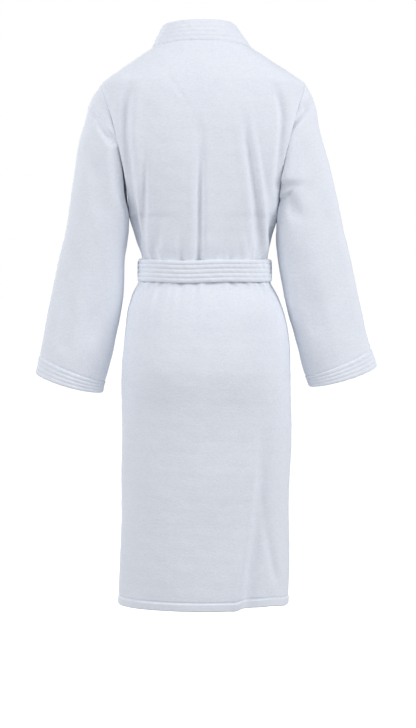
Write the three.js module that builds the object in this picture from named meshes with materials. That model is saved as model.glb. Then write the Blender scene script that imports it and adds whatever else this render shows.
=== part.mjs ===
/**
 * Kimono bathrobe in thick cotton velour, worn and belted.
 *
 * Millimetres, +Z up. The front faces -Y and the wearer's left is +X. The origin is midway between the
 * two points where the shoulder seams meet the neck seam, so a height is minus its drop below the neck.
 * A robe is sheets of cloth, so each piece is a thin closed shell: an outer face, written as a function
 * of two numbers from 0 to 1, with a thickness behind it.
 */
import * as THREE from 'three';
import { ParametricGeometry } from 'three/addons/geometries/ParametricGeometry.js';
import { mergeVertices } from 'three/addons/utils/BufferGeometryUtils.js';

// ---------------------------------------------------------------- driving dimensions
const CLOTH = 4; // velour, pile to pile
const QUILT = 6; // quilted bands: collar, lapels, cuffs and belt
const SEAM = 0.5; // clearance between sewn neighbours
const EDGE = 1; // a sheet's ends narrow to an edge over this length
const HEM_DROP = 1118; // neck point to hem
const WAIST_DROP = 440; // neck point to the middle of the belt
const HIP_DROP = 600;
const ARMPIT_DROP = 328;
const SHOULDER_DROP = 68;
const NECK_HALF = 101;
const SHOULDER_HALF = 205;
const ARMPIT_HALF = 150;
const WAIST_HALF = 131;
const HIP_HALF = 168;
const HEM_HALF = 171;
const NAPE_RISE = 18; // the neck seam climbs this much to the nape
const COLLAR_STAND = 42;
const COLLAR_BACK = 48; // the collar's top edge leans in to this depth behind the shoulder line
const BAND_WIDTH = 44; // lapels and front bands
const BELT_WIDTH = 46;
const BELT_CLEARANCE = 2;
const WRAP = 40; // each front passes the middle by this much
const LAYER = 8; // how far the outer front stands off the inner one
const LAYER_RISE = 0.3; // turn over which it comes to stand off
const BELT_LAYER_TURNS = [1.05, 1.4]; // the belt comes to stand off over both between these
const SIDE_SEAM_TURN = 0.28; // side seams sit this far forward, in quarter turns
const ARMHOLE_DEPTH = 68; // half the armhole's width, front to back
const ARMHOLE_ROUND = 0.8; // 1 is a sine's curve, less is fuller
const ARMHOLE_PULL = 0.35; // how far the armhole draws the panels' edges away from the side
const SHOULDER_TAPER = 1.8; // how fast the width falls from shoulder to armpit
const SHOULDER_ROUND = new THREE.Vector3(25, 0, -30); // the way the sleeve leaves the shoulder
const SLEEVE_SET = 6; // how quickly the sleeve leaves the armhole's shape
const SLEEVE_FLAT_FROM = 0.7; // share of the sleeve's length at which it has the cuff's depth
const SLEEVE_LENGTH = 585; // shoulder point to the cuff's outer corner
const SLEEVE_ANGLE = 13.5; // degrees from vertical
const CUFF_WIDTH = 142; // across the cuff, worn
const CUFF_DEPTH = 104; // through the cuff, front to back
const CUFF_TILT = 16; // degrees
const CUFF_BAND = 36;
const ARM_GAP = 18; // the least room between the waist and a hanging sleeve
const TAIL_LENGTHS = { left: 345, right: 322 };
const TAIL_GAP = 2; // between a tail and what hangs beside it
const TAIL_CORNER = 6; // the tail's two lower corners are cut by this much
const TAIL_TOP = 3; // below the line at which the skirts part from the fronts
const KNOT = { width: 60, height: 44, depth: 26, round: 7, stand: 2 };
const POCKET = { top: 545, height: 165, from: 1.3, to: 1.74, cloth: 3, gape: 16 };
const LOOP = { width: 60, drop: 30, tape: 8, thick: 1.6, corner: 5 };
const NECK_LABEL = { width: 48, height: 22, thick: 1 };
const CARE_LABEL = { width: 26, height: 52, thick: 1, drop: 640, turn: 0.93 };
const LABEL_STANDOFF = 5; // a flat label clears the curve of the cloth behind it
const BELT_LOOP = { tape: 7, thick: 1.6, foot: 8, behindSeam: 0.1, halfTurn: 0.02 };

// Torso rings from neck to hem: drop, half width, and depth behind and in front of the shoulder line.
const RINGS = [
  { drop: 0, half: NECK_HALF, back: 62, front: 46 },
  { drop: SHOULDER_DROP, half: SHOULDER_HALF, back: 92, front: 80 },
  { drop: (SHOULDER_DROP + ARMPIT_DROP) / 2, half: ARMPIT_HALF, back: 106, front: 104 },
  { drop: ARMPIT_DROP, half: ARMPIT_HALF, back: 98, front: 107 },
  { drop: WAIST_DROP - 40, half: WAIST_HALF, back: 86, front: 96 },
  { drop: WAIST_DROP + 14, half: WAIST_HALF, back: 86, front: 94 },
  { drop: WAIST_DROP + 60, half: (WAIST_HALF + HIP_HALF) / 2, back: 100, front: 100 },
  { drop: HIP_DROP, half: HIP_HALF, back: 122, front: 108 },
  { drop: (HIP_DROP + HEM_DROP) / 2, half: HIP_HALF + 1, back: 118, front: 108 },
  { drop: HEM_DROP, half: HEM_HALF, back: 112, front: 104 },
];
const ROUNDNESS = { back: 0.85, front: 0.7 }; // 1 is an ellipse, less is squarer
const BELT_TOP = WAIST_DROP - BELT_WIDTH / 2;
const BELT_BOTTOM = WAIST_DROP + BELT_WIDTH / 2;
const SPLIT_DROP = BELT_BOTTOM + 4; // the fronts swing open below this line
const FRONT_TOP = 6; // the shoulder seam's inner end, just below the neck point
const ARMHOLE_STEPS = 10; // rows of facets down the armhole, shared by torso and sleeve
const SKIRT_STEPS = 8;
const LAPEL_STAND = new THREE.Vector3(-25, -6, 38); // the band's slope where it meets the collar
const LAPEL_TURN_DOWN = 90; // it lies flat on the chest below this drop

// ---------------------------------------------------------------- finishes
const velour = new THREE.MeshStandardMaterial({ color: 0xdde3ea, roughness: 0.95, metalness: 0 });
const quilted = new THREE.MeshStandardMaterial({ color: 0xe3e8ee, roughness: 0.9, metalness: 0 });
const tape = new THREE.MeshStandardMaterial({ color: 0xf0f1f2, roughness: 0.7, metalness: 0 });
const satin = new THREE.MeshStandardMaterial({ color: 0xf4f4f2, roughness: 0.4, metalness: 0 });

// ---------------------------------------------------------------- helpers
const { lerp, clamp, smoothstep, degToRad } = THREE.MathUtils;
const quarter = (turn) => (turn * Math.PI) / 2;

/** A smooth curve through the torso rings, read at any drop. */
function ringValue(key, drop) {
  const last = RINGS.length - 1;
  const found = RINGS.findIndex((ring) => ring.drop > drop) - 1;
  const i = found < 0 ? (drop <= 0 ? 0 : last - 1) : found;
  const slope = (k) => {
    const a = RINGS[Math.max(k - 1, 0)];
    const b = RINGS[Math.min(k + 1, last)];
    return (b[key] - a[key]) / (b.drop - a.drop);
  };
  const [a, b] = [RINGS[i], RINGS[i + 1]];
  const span = b.drop - a.drop;
  const t = (drop - a.drop) / span;
  const rise = b[key] - a[key];
  const bend = (1 - t) * (slope(i) * span - rise) - t * (slope(i + 1) * span - rise);
  return a[key] + t * rise + t * (1 - t) * bend;
}

/** How far down the armhole a drop lies: 0 at the shoulder point, 1 at the armpit. */
function armholeShare(drop) {
  return clamp((drop - SHOULDER_DROP) / (ARMPIT_DROP - SHOULDER_DROP), 0, 1);
}

function halfWidth(drop) {
  if (drop <= SHOULDER_DROP) return lerp(NECK_HALF, SHOULDER_HALF, drop / SHOULDER_DROP);
  if (drop >= ARMPIT_DROP) return ringValue('half', drop);
  return ARMPIT_HALF + (SHOULDER_HALF - ARMPIT_HALF) * (1 - armholeShare(drop)) ** SHOULDER_TAPER;
}

/** Half the gap between back and front at the panel's edge: the armhole, or a seam above it. */
function edgeDepth(drop) {
  if (drop >= ARMPIT_DROP) return 0;
  const share = armholeShare(drop);
  return Math.max(SEAM / 2, ARMHOLE_DEPTH * Math.sin(Math.PI * share) ** ARMHOLE_ROUND);
}

/**
 * A point on the torso. turn is 0 at the middle of the back, 1 at the wearer's left side, 2 at the
 * middle of the front and more beyond it; minus is the wearer's right.
 */
function torso(turn, drop) {
  const side = Math.abs(turn);
  const behind = side <= 1;
  const swing = behind ? side : 2 - side;
  const open = 1 - ARMHOLE_PULL * Math.sin(Math.PI * armholeShare(drop));
  const edge = edgeDepth(drop);
  const depth = ringValue(behind ? 'back' : 'front', drop);
  const power = behind ? ROUNDNESS.back : ROUNDNESS.front;
  const crown = Math.max(Math.cos(quarter(swing)), 0) ** power;
  const x = (halfWidth(drop) * Math.sin(quarter(swing * open))) / Math.sin(quarter(open));
  const y = edge + (depth - edge) * crown;
  const rise = behind ? NAPE_RISE * crown * (1 - smoothstep(drop, 0, ARMPIT_DROP)) : 0;
  return new THREE.Vector3(Math.sign(turn) * x, behind ? y : -y, rise - drop);
}

/** The turn at which the front of the torso has the given x, on the wearer's left. */
function frontTurn(x, drop) {
  return 2 - (2 / Math.PI) * Math.asin(clamp(x / halfWidth(drop), -1, 0.999999));
}

/** The drops at which torso pieces have rows of facets, so that neighbours share their corners. */
const ROWS = [0, FRONT_TOP];
for (let k = 1; k < 3; k += 1) ROWS.push(lerp(FRONT_TOP, SHOULDER_DROP, k / 3));
for (let k = 0; k <= ARMHOLE_STEPS; k += 1) {
  const share = (1 - Math.cos((Math.PI * k) / ARMHOLE_STEPS)) / 2;
  ROWS.push(lerp(SHOULDER_DROP, ARMPIT_DROP, share));
}
for (let k = 1; k < 4; k += 1) ROWS.push(lerp(ARMPIT_DROP, SPLIT_DROP, k / 4));
for (let k = 0; k <= SKIRT_STEPS; k += 1) ROWS.push(lerp(SPLIT_DROP, HEM_DROP, k / SKIRT_STEPS));

/** The rows of a piece that reaches from one drop to another. */
function rowsBetween(top, bottom) {
  return [top, ...ROWS.filter((row) => row > top + 1 && row < bottom - 1), bottom];
}

/** The outward normal of a skin, by differences that stay on the sheet between two drops. */
function normalOf(skin, u, drop, [top, bottom]) {
  const step = 1e-3;
  const across = skin(Math.min(u + step, 1), drop).sub(skin(Math.max(u - step, 0), drop));
  const along = skin(u, Math.min(drop + 0.5, bottom)).sub(skin(u, Math.max(drop - 0.5, top)));
  return across.cross(along).normalize();
}

/** The same skin moved out along its normal by lift(u, drop). */
function raised(skin, lift, ends) {
  return (u, drop) => skin(u, drop).addScaledVector(normalOf(skin, u, drop, ends), lift(u, drop));
}

/** Merges a parametric surface into one closed body whose faces point out. */
function closedBody(surface, columns, rows) {
  const geometry = new ParametricGeometry(surface, columns, rows);
  geometry.deleteAttribute('normal');
  geometry.deleteAttribute('uv');
  const merged = mergeVertices(geometry, 1e-3);
  const point = (k) => new THREE.Vector3().fromBufferAttribute(merged.attributes.position, k);
  const faces = [];
  let volume = 0;
  for (let k = 0; k < merged.index.count; k += 3) {
    const [a, b, c] = [0, 1, 2].map((step) => merged.index.getX(k + step));
    if (a === b || b === c || c === a) continue;
    faces.push([a, b, c]);
    volume += point(a).dot(point(b).cross(point(c)));
  }
  merged.setIndex(faces.flatMap(([a, b, c]) => (volume > 0 ? [a, b, c] : [a, c, b])));
  return merged;
}

/**
 * A sheet of cloth down the torso: its outer face is skin(u, drop), with a row of facets at each of the
 * given drops, and its thickness closes to an edge at the first and the last of them.
 */
function clothSheet(skin, drops, { across, thick = CLOTH }) {
  const columns = 2 * across + 2;
  const ends = [drops[0], drops.at(-1)];
  const lines = [ends[0], ends[0] + EDGE, ...drops.slice(1, -1), ends[1] - EDGE, ends[1]];
  const rows = lines.length - 1;
  return closedBody((s, t, target) => {
    const column = Math.round(s * columns) % columns;
    const row = Math.round(t * rows);
    const outer = column <= across;
    const u = outer ? column / across : (columns - 1 - column) / across;
    const closing = row === 0 || row === rows;
    const depth = closing ? thick / 2 : outer ? 0 : thick;
    const normal = normalOf(skin, u, lines[row], ends);
    target.copy(skin(u, lines[row])).addScaledVector(normal, -depth);
  }, columns, rows);
}

/** A tube of cloth: u runs round its outer face, v along it, both from 0 to 1. */
function clothTube(skin, { around, along, thick = CLOTH }) {
  const rows = 2 * along + 2;
  const seamless = (u) => (u + 1) % 1;
  return closedBody((s, t, target) => {
    const u = seamless(Math.round(s * around) / around);
    const row = Math.round(t * rows) % rows;
    const outer = row <= along;
    const v = outer ? row / along : (rows - 1 - row) / along;
    const step = 1e-3;
    const tangent = skin(seamless(u + step), v).sub(skin(seamless(u - step), v));
    const length = skin(u, Math.min(v + step, 1)).sub(skin(u, Math.max(v - step, 0)));
    const inward = tangent.cross(length).normalize();
    target.copy(skin(u, v)).addScaledVector(inward, outer ? 0 : thick);
  }, around, rows);
}

/** The wearer's right-hand copy of a left-hand piece. */
function mirrored(geometry) {
  const copy = geometry.clone().scale(-1, 1, 1);
  const faces = Array.from(copy.index.array);
  for (let k = 0; k < faces.length; k += 3) [faces[k], faces[k + 1]] = [faces[k + 1], faces[k]];
  copy.setIndex(faces);
  return copy;
}

const robe = new THREE.Group();

function add(name, geometry, finish) {
  const mesh = new THREE.Mesh(geometry, finish);
  mesh.name = name;
  robe.add(mesh);
  return mesh;
}

// ---------------------------------------------------------------- back and fronts
/** Where the back ends and the fronts begin: the side, moving forward from armpit to belt. */
function seamTurn(drop) {
  return 1 + SIDE_SEAM_TURN * smoothstep(drop, ARMPIT_DROP, WAIST_DROP);
}

/** A seam's clearance as a turn, below the armpit where back and fronts meet. */
function seamStep(drop) {
  return drop <= ARMPIT_DROP ? 0 : SEAM / quarter(halfWidth(drop));
}

function backSkin(u, drop) {
  const reach = seamTurn(drop) - seamStep(drop);
  return torso(lerp(-reach, reach, u), drop);
}

/** The line where a front meets its quilted band, and the band's free edge. */
function bandSeamX(drop) {
  return lerp(NECK_HALF + SEAM / 2, BAND_WIDTH - WRAP, clamp(drop / WAIST_DROP, 0, 1));
}
function freeEdgeX(drop) {
  return bandSeamX(drop) - BAND_WIDTH;
}

/** The outer front lies over the inner one, from nothing at the side seam and at the neck. */
function layerLift(side, turn, drop) {
  if (side === 'right') return 0;
  const round = smoothstep(turn, seamTurn(drop), seamTurn(drop) + LAYER_RISE);
  return LAYER * round * smoothstep(drop, 0, 2 * SHOULDER_DROP);
}

function frontSkin(side, ends) {
  const base = (u, drop) => {
    const start = drop < ARMPIT_DROP ? 1.0001 : seamTurn(drop) + seamStep(drop);
    const end = frontTurn(bandSeamX(drop) + SEAM / 2, drop);
    return torso(lerp(start, end, u), drop);
  };
  const lift = (u, drop) => {
    const turn = lerp(seamTurn(drop), frontTurn(bandSeamX(drop), drop), u);
    return layerLift(side, turn, drop);
  };
  return raised(base, lift, ends);
}

/** The band down a front edge. Near the neck it stands up to meet the collar. */
function bandSkin(side, ends) {
  const base = (u, drop) => {
    const x = lerp(bandSeamX(drop) - SEAM / 2, freeEdgeX(drop), u);
    const flat = torso(frontTurn(x, drop), drop);
    const foot = torso(frontTurn(bandSeamX(drop) - SEAM / 2, drop), drop);
    const standing = foot.addScaledVector(LAPEL_STAND, u);
    return standing.lerp(flat, smoothstep(drop, 0, LAPEL_TURN_DOWN));
  };
  const lift = (u, drop) => layerLift(side, frontTurn(bandSeamX(drop), drop), drop);
  return raised(base, lift, ends);
}

add('back_panel', clothSheet(backSkin, rowsBetween(0, HEM_DROP), { across: 20 }), velour);

for (const side of ['left', 'right']) {
  const place = (geometry) => (side === 'left' ? geometry : mirrored(geometry));
  const sheet = (skin, ends, shape) => place(clothSheet(skin(side, ends), rowsBetween(...ends), shape));
  const above = SPLIT_DROP - SEAM;
  const skirt = [SPLIT_DROP, HEM_DROP];
  add(`front_${side}`, sheet(frontSkin, [FRONT_TOP, above], { across: 7 }), velour);
  add(`skirt_${side}`, sheet(frontSkin, skirt, { across: 8 }), velour);
  add(`lapel_${side}`, sheet(bandSkin, [SEAM, above], { across: 3, thick: QUILT }), quilted);
  add(`front_band_${side}`, sheet(bandSkin, skirt, { across: 3, thick: QUILT }), quilted);

  const pocketEnds = [POCKET.top, POCKET.top + POCKET.height];
  const pocketTurn = (u) => lerp(POCKET.from, POCKET.to, u);
  const pocketLift = (u, drop) => {
    const down = (drop - POCKET.top) / POCKET.height;
    const hollow = POCKET.gape * Math.sin(Math.PI * u) * Math.cos(quarter(down));
    return layerLift(side, pocketTurn(u), drop) + SEAM + POCKET.cloth + hollow;
  };
  const pocket = raised((u, drop) => torso(pocketTurn(u), drop), pocketLift, pocketEnds);
  const pocketRows = Array.from({ length: 7 }, (_, k) => lerp(...pocketEnds, k / 6));
  add(`pocket_${side}`, place(clothSheet(pocket, pocketRows, { across: 8, thick: POCKET.cloth })), velour);
}

// ---------------------------------------------------------------- collar behind the neck
const lapelTurn = frontTurn(bandSeamX(SEAM) - SEAM / 2, SEAM);
const collarReach = lapelTurn - (2 * SEAM) / quarter(NECK_HALF);

/** The collar's top edge, from one lapel round the nape to the other; share runs from -1 to 1. */
function collarTop(share) {
  const crown = Math.cos(quarter(share));
  const end = torso(collarReach, 0).add(LAPEL_STAND);
  const height = lerp(end.z, NAPE_RISE + COLLAR_STAND, crown);
  return new THREE.Vector3(end.x * Math.sin(quarter(share)), lerp(end.y, COLLAR_BACK, crown), height);
}

/** The collar is measured down its stand, from its top edge to the neck seam. */
function collarSkin(u, down) {
  const share = lerp(-1, 1, u);
  const clear = new THREE.Vector3(0, 0, SEAM * (down / COLLAR_STAND));
  const foot = torso(share * collarReach, 0);
  return collarTop(share).lerp(foot, down / COLLAR_STAND).add(clear);
}
const collarRows = Array.from({ length: 5 }, (_, k) => (COLLAR_STAND * k) / 4);
add('collar_back', clothSheet(collarSkin, collarRows, { across: 16, thick: QUILT }), quilted);

// ---------------------------------------------------------------- sleeves and cuffs
const shoulderPoint = new THREE.Vector3(SHOULDER_HALF + SEAM, 0, -SHOULDER_DROP);
const armpitPoint = new THREE.Vector3(ARMPIT_HALF + SEAM, 0, -ARMPIT_DROP - SEAM);
const sleeveWay = new THREE.Vector3(Math.sin(degToRad(SLEEVE_ANGLE)), 0, -Math.cos(degToRad(SLEEVE_ANGLE)));
const cuffWay = new THREE.Vector3(-Math.cos(degToRad(CUFF_TILT)), 0, -Math.sin(degToRad(CUFF_TILT)));
const cuffOuter = shoulderPoint.clone().addScaledVector(sleeveWay, SLEEVE_LENGTH);
const cuffInner = cuffOuter.clone().addScaledVector(cuffWay, CUFF_WIDTH);

/** Silhouette of the hanging sleeve: its outer line from the shoulder, its inner one from the armpit. */
const outerLine = new THREE.CubicBezierCurve3(
  shoulderPoint,
  shoulderPoint.clone().add(SHOULDER_ROUND),
  cuffOuter.clone().addScaledVector(sleeveWay, -SLEEVE_LENGTH / 3),
  cuffOuter,
);
const innerLine = new THREE.CubicBezierCurve3(
  armpitPoint,
  armpitPoint.clone().setX(WAIST_HALF + ARM_GAP).add(new THREE.Vector3(0, 0, -SLEEVE_LENGTH / 8)),
  cuffInner.clone().addScaledVector(sleeveWay, -SLEEVE_LENGTH / 4),
  cuffInner,
);

/** u runs round the sleeve from its outer line by the back, and v down it from armhole to cuff edge. */
function sleeveSkin(u, v) {
  const angle = 2 * Math.PI * u;
  const outer = outerLine.getPoint(v);
  const inner = innerLine.getPoint(v);
  const share = (1 - Math.cos(angle)) / 2;
  const depth = lerp(ARMHOLE_DEPTH, CUFF_DEPTH / 2, smoothstep(v, 0, SLEEVE_FLAT_FROM));
  const point = outer.lerp(inner, share).setY(depth * Math.sin(angle));
  const drop = SHOULDER_DROP + share * (ARMPIT_DROP - SHOULDER_DROP);
  const straight = lerp(SHOULDER_HALF, ARMPIT_HALF, share);
  const armhole = new THREE.Vector3(halfWidth(drop) - straight, 0, 0);
  armhole.y = Math.sign(Math.sin(angle)) * (edgeDepth(drop) - ARMHOLE_DEPTH * Math.abs(Math.sin(angle)));
  return point.addScaledVector(armhole, (1 - v) ** SLEEVE_SET);
}

const cuffStart = 1 - CUFF_BAND / SLEEVE_LENGTH;
const cuffGap = SEAM / SLEEVE_LENGTH;
const sleeve = clothTube((u, v) => sleeveSkin(u, v * cuffStart), { around: 2 * ARMHOLE_STEPS, along: 10 });
const cuffPart = (u, v) => sleeveSkin(u, lerp(cuffStart + cuffGap, 1, v));
const cuff = clothTube(cuffPart, { around: 2 * ARMHOLE_STEPS, along: 2, thick: QUILT });
add('sleeve_left', sleeve, velour);
add('sleeve_right', mirrored(sleeve), velour);
add('cuff_left', cuff, quilted);
add('cuff_right', mirrored(cuff), quilted);

// ---------------------------------------------------------------- belt, knot, tails and loops
/** The level direction that points out of the torso at a turn and a drop. */
function outward(turn, drop) {
  const step = 1e-3;
  const along = torso(turn + step, drop).sub(torso(turn - step, drop)).setZ(0).normalize();
  return new THREE.Vector3(0, 0, 1).cross(along);
}

/** The belt's outer face. It lies over both fronts all the way round. */
function beltFace(turn, drop) {
  const over = LAYER * smoothstep(Math.abs(turn), ...BELT_LAYER_TURNS);
  const stand = over + BELT_CLEARANCE + QUILT;
  return torso(turn, drop).addScaledVector(outward(turn, drop), stand);
}
const beltSkin = (u, v) => beltFace(2 - 4 * u, lerp(BELT_TOP, BELT_BOTTOM, v));
add('belt_band', clothTube(beltSkin, { around: 48, along: 2, thick: QUILT }), quilted);

/** A block whose edges and corners are all rounded, with its middle at the origin and its depth on Y. */
function roundBlock({ width, height, depth, round }) {
  const [w, h] = [width / 2 - round, height / 2 - round];
  const shape = new THREE.Shape();
  shape.moveTo(-w, -h).lineTo(w, -h).lineTo(w, h).lineTo(-w, h).closePath();
  const bevel = { bevelThickness: round, bevelSize: round, bevelSegments: 3 };
  const block = new THREE.ExtrudeGeometry(shape, { depth: depth - 2 * round, ...bevel });
  return block.translate(0, 0, round - depth / 2).rotateX(Math.PI / 2);
}

const tailX = { left: -WRAP - TAIL_GAP - BELT_WIDTH / 2 };
tailX.right = tailX.left - BELT_WIDTH - TAIL_GAP;
const knotTurn = -frontTurn(-(tailX.left + tailX.right) / 2, WAIST_DROP);
const knotWay = outward(knotTurn, WAIST_DROP);
const knot = add('belt_knot', roundBlock(KNOT), quilted);
knot.position.copy(beltFace(knotTurn, WAIST_DROP));
knot.position.addScaledVector(knotWay, KNOT.stand + KNOT.depth / 2);
knot.rotation.z = Math.atan2(knotWay.y, knotWay.x) + Math.PI / 2;

const tailBack = Math.max(...RINGS.map((ring) => ring.front)) + POCKET.gape + SEAM;
for (const side of ['left', 'right']) {
  const [half, length] = [BELT_WIDTH / 2, TAIL_LENGTHS[side]];
  const outline = new THREE.Shape();
  outline.moveTo(-half, 0).lineTo(-half, TAIL_CORNER - length).lineTo(TAIL_CORNER - half, -length);
  outline.lineTo(half - TAIL_CORNER, -length).lineTo(half, TAIL_CORNER - length).lineTo(half, 0).closePath();
  const strip = new THREE.ExtrudeGeometry(outline, { depth: QUILT, bevelEnabled: false });
  const tail = add(`belt_tail_${side}`, strip.rotateX(Math.PI / 2), quilted);
  tail.position.set(tailX[side], -tailBack, -SPLIT_DROP - TAIL_TOP);
}

/** A tape bracket that stands off the robe's side and lets the belt through. */
function beltLoop() {
  const turn = seamTurn(WAIST_DROP) - BELT_LOOP.behindSeam;
  const middle = torso(turn, WAIST_DROP);
  const way = outward(turn, WAIST_DROP);
  const { thick, foot } = BELT_LOOP;
  const inner = BELT_WIDTH / 2 + QUILT / 3; // the belt leans where the waist flares
  const outer = inner + thick;
  const reach = outer + foot;
  const standAt = (height) => torso(turn, WAIST_DROP - height).sub(middle).dot(way);
  const footStand = (sign) => SEAM + Math.max(standAt(sign * inner), standAt(sign * reach));
  const [top, bottom] = [footStand(1), footStand(-1)];
  const beltStand = [BELT_TOP, WAIST_DROP, BELT_BOTTOM].flatMap((drop) =>
    [-1, 0, 1].map((edge) => beltFace(turn + edge * BELT_LOOP.halfTurn, drop).sub(middle).dot(way)),
  );
  const bridge = Math.max(...beltStand) + BELT_CLEARANCE;
  const outline = new THREE.Shape();
  outline.moveTo(top, reach).lineTo(top, inner).lineTo(bridge, inner).lineTo(bridge, -inner);
  outline.lineTo(bottom, -inner).lineTo(bottom, -reach).lineTo(bottom + thick, -reach);
  outline.lineTo(bottom + thick, -outer).lineTo(bridge + thick, -outer).lineTo(bridge + thick, outer);
  outline.lineTo(top + thick, outer).lineTo(top + thick, reach).closePath();
  const bracket = new THREE.ExtrudeGeometry(outline, { depth: BELT_LOOP.tape, bevelEnabled: false });
  const up = new THREE.Vector3(0, 0, 1);
  const basis = new THREE.Matrix4().makeBasis(way, up, way.clone().cross(up));
  bracket.translate(0, 0, -BELT_LOOP.tape / 2).applyMatrix4(basis);
  return bracket.translate(middle.x, middle.y, middle.z);
}
const loopBracket = beltLoop();
loopBracket.deleteAttribute('normal');
loopBracket.deleteAttribute('uv');
const loopBody = mergeVertices(loopBracket, 1e-3);
add('belt_loop_left', loopBody, velour);
add('belt_loop_right', mirrored(loopBody), velour);

// ---------------------------------------------------------------- hanger loop and labels
const seamDepth = torso(LOOP.width / 2 / NECK_HALF / quarter(1), 0).y - QUILT;

/** A tape hung by its two ends, with rounded lower corners. */
function hangerLoop({ width, drop, tape: depth, thick, corner }) {
  const [half, inner] = [width / 2, width / 2 - thick];
  const floor = thick - drop;
  const outline = new THREE.Shape();
  outline.moveTo(-half, 0).lineTo(-half, corner - drop);
  outline.quadraticCurveTo(-half, -drop, corner - half, -drop);
  outline.lineTo(half - corner, -drop);
  outline.quadraticCurveTo(half, -drop, half, corner - drop).lineTo(half, 0);
  outline.lineTo(inner, 0).lineTo(inner, floor).lineTo(-inner, floor).lineTo(-inner, 0).closePath();
  const strap = { depth, bevelEnabled: false, curveSegments: 4 };
  return new THREE.ExtrudeGeometry(outline, strap).rotateX(Math.PI / 2);
}
const loop = add('hanger_loop', hangerLoop(LOOP), tape);
loop.position.set(0, seamDepth - LABEL_STANDOFF, NAPE_RISE - SEAM);

const plate = ({ width, height, thick }) => new THREE.BoxGeometry(width, thick, height);
const neckLabel = add('neck_label', plate(NECK_LABEL), satin);
neckLabel.position.set(0, seamDepth - (LABEL_STANDOFF - NECK_LABEL.thick) / 2, 0);

const careWay = outward(CARE_LABEL.turn, CARE_LABEL.drop);
const careLabel = add('care_label', plate(CARE_LABEL), satin);
careLabel.position.copy(torso(CARE_LABEL.turn, CARE_LABEL.drop));
careLabel.position.addScaledVector(careWay, -CLOTH - LABEL_STANDOFF);
careLabel.rotation.z = Math.atan2(careWay.y, careWay.x) - Math.PI / 2;

export default robe;
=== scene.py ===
"""A kimono bathrobe in white cotton velour, worn and belted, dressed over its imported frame."""

import logging
import math
from dataclasses import dataclass
from enum import Enum
from typing import ClassVar, Sequence

import bmesh
import bpy
import numpy as np
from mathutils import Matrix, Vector


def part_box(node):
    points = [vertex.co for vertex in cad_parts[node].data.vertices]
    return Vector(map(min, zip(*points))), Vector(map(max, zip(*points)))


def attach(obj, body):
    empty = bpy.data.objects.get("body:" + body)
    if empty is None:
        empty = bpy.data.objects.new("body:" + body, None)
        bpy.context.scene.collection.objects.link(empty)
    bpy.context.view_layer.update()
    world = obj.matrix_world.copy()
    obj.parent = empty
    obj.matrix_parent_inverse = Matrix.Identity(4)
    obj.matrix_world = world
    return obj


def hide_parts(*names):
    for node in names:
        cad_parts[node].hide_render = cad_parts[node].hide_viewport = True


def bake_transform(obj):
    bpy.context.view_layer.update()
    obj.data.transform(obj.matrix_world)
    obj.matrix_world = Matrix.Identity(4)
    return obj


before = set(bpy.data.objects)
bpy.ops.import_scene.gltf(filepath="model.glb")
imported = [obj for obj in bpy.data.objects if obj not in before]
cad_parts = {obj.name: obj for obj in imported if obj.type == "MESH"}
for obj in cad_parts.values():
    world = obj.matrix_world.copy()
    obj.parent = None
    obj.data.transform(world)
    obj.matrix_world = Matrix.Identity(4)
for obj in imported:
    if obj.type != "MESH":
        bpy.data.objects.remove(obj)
log = logging.getLogger("bathrobe")
Grid = np.ndarray  # rows x columns x 3, millimetres, +Z up, the front facing -Y

METRE = 1000.0  # millimetres
BUMP_UNIT = 0.001  # bump heights are written in millimetres


# ---------------------------------------------------------------- small maths
def smooth(value: Grid, start: float, end: float) -> Grid:
    """A soft step from 0 at start to 1 at end."""
    t = np.clip((np.asarray(value, float) - start) / (end - start), 0.0, 1.0)
    return t * t * (3 - 2 * t)


def blend_between(a: Grid, b: Grid, share: Grid) -> Grid:
    """a at share 0 and b at share 1."""
    return a + (b - a) * share


def flowing(stations: Sequence[float], values: Sequence[float], at: Grid) -> Grid:
    """A smooth curve through the values.

    Args:
        stations: increasing places.
        values: the value at each of them.
        at: the places to read.

    Returns:
        The curve's value at each place.
    """
    s, v = np.asarray(stations, float), np.asarray(values, float)
    slope = np.gradient(v, s)
    i = np.clip(np.searchsorted(s, at, side="right") - 1, 0, len(s) - 2)
    span = s[i + 1] - s[i]
    t = np.clip((at - s[i]) / span, 0.0, 1.0)
    return (
        (2 * t**3 - 3 * t**2 + 1) * v[i]
        + (t**3 - 2 * t**2 + t) * span * slope[i]
        + (3 * t**2 - 2 * t**3) * v[i + 1]
        + (t**3 - t**2) * span * slope[i + 1]
    )


def route_through(points: Sequence[tuple[float, ...]], count: int) -> Grid:
    """A smooth route of count points through the given ones."""
    p = np.asarray(points, float)
    length = np.r_[0, np.cumsum(np.linalg.norm(np.diff(p, axis=0), axis=1))]
    at = np.linspace(0, length[-1], count)
    return np.stack([flowing(length, p[:, k], at) for k in range(p.shape[1])], axis=-1)


def unit(vectors: Grid) -> Grid:
    """The same directions at length 1."""
    return vectors / np.maximum(np.linalg.norm(vectors, axis=-1, keepdims=True), 1e-9)


def normals(grid: Grid, wrap: bool, flip: bool) -> Grid:
    """The grid's outward normals.

    Args:
        grid: the surface.
        wrap: whether its last column meets its first.
        flip: whether columns x rows points inward.

    Returns:
        One unit vector for each point.
    """
    if wrap:
        across = np.roll(grid, -1, axis=1) - np.roll(grid, 1, axis=1)
    else:
        across = np.gradient(grid, axis=1)
    out = unit(np.cross(across, np.gradient(grid, axis=0)))
    return -out if flip else out


def lifted(grid: Grid, height: Grid, *, wrap: bool = False, flip: bool = False) -> Grid:
    """The grid moved out along its normals by a height for each point."""
    return grid + normals(grid, wrap, flip) * np.asarray(height)[..., None]


def channels(share: Grid, count: int, pad: float) -> Grid:
    """Rows of quilting across a band.

    Args:
        share: the place across the band, from 0 to 1.
        count: how many sewn channels it has.
        pad: how high each one stands above its seams, in millimetres.

    Returns:
        The height at each place.
    """
    return pad * np.abs(np.sin(math.pi * count * share)) ** 0.75


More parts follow.
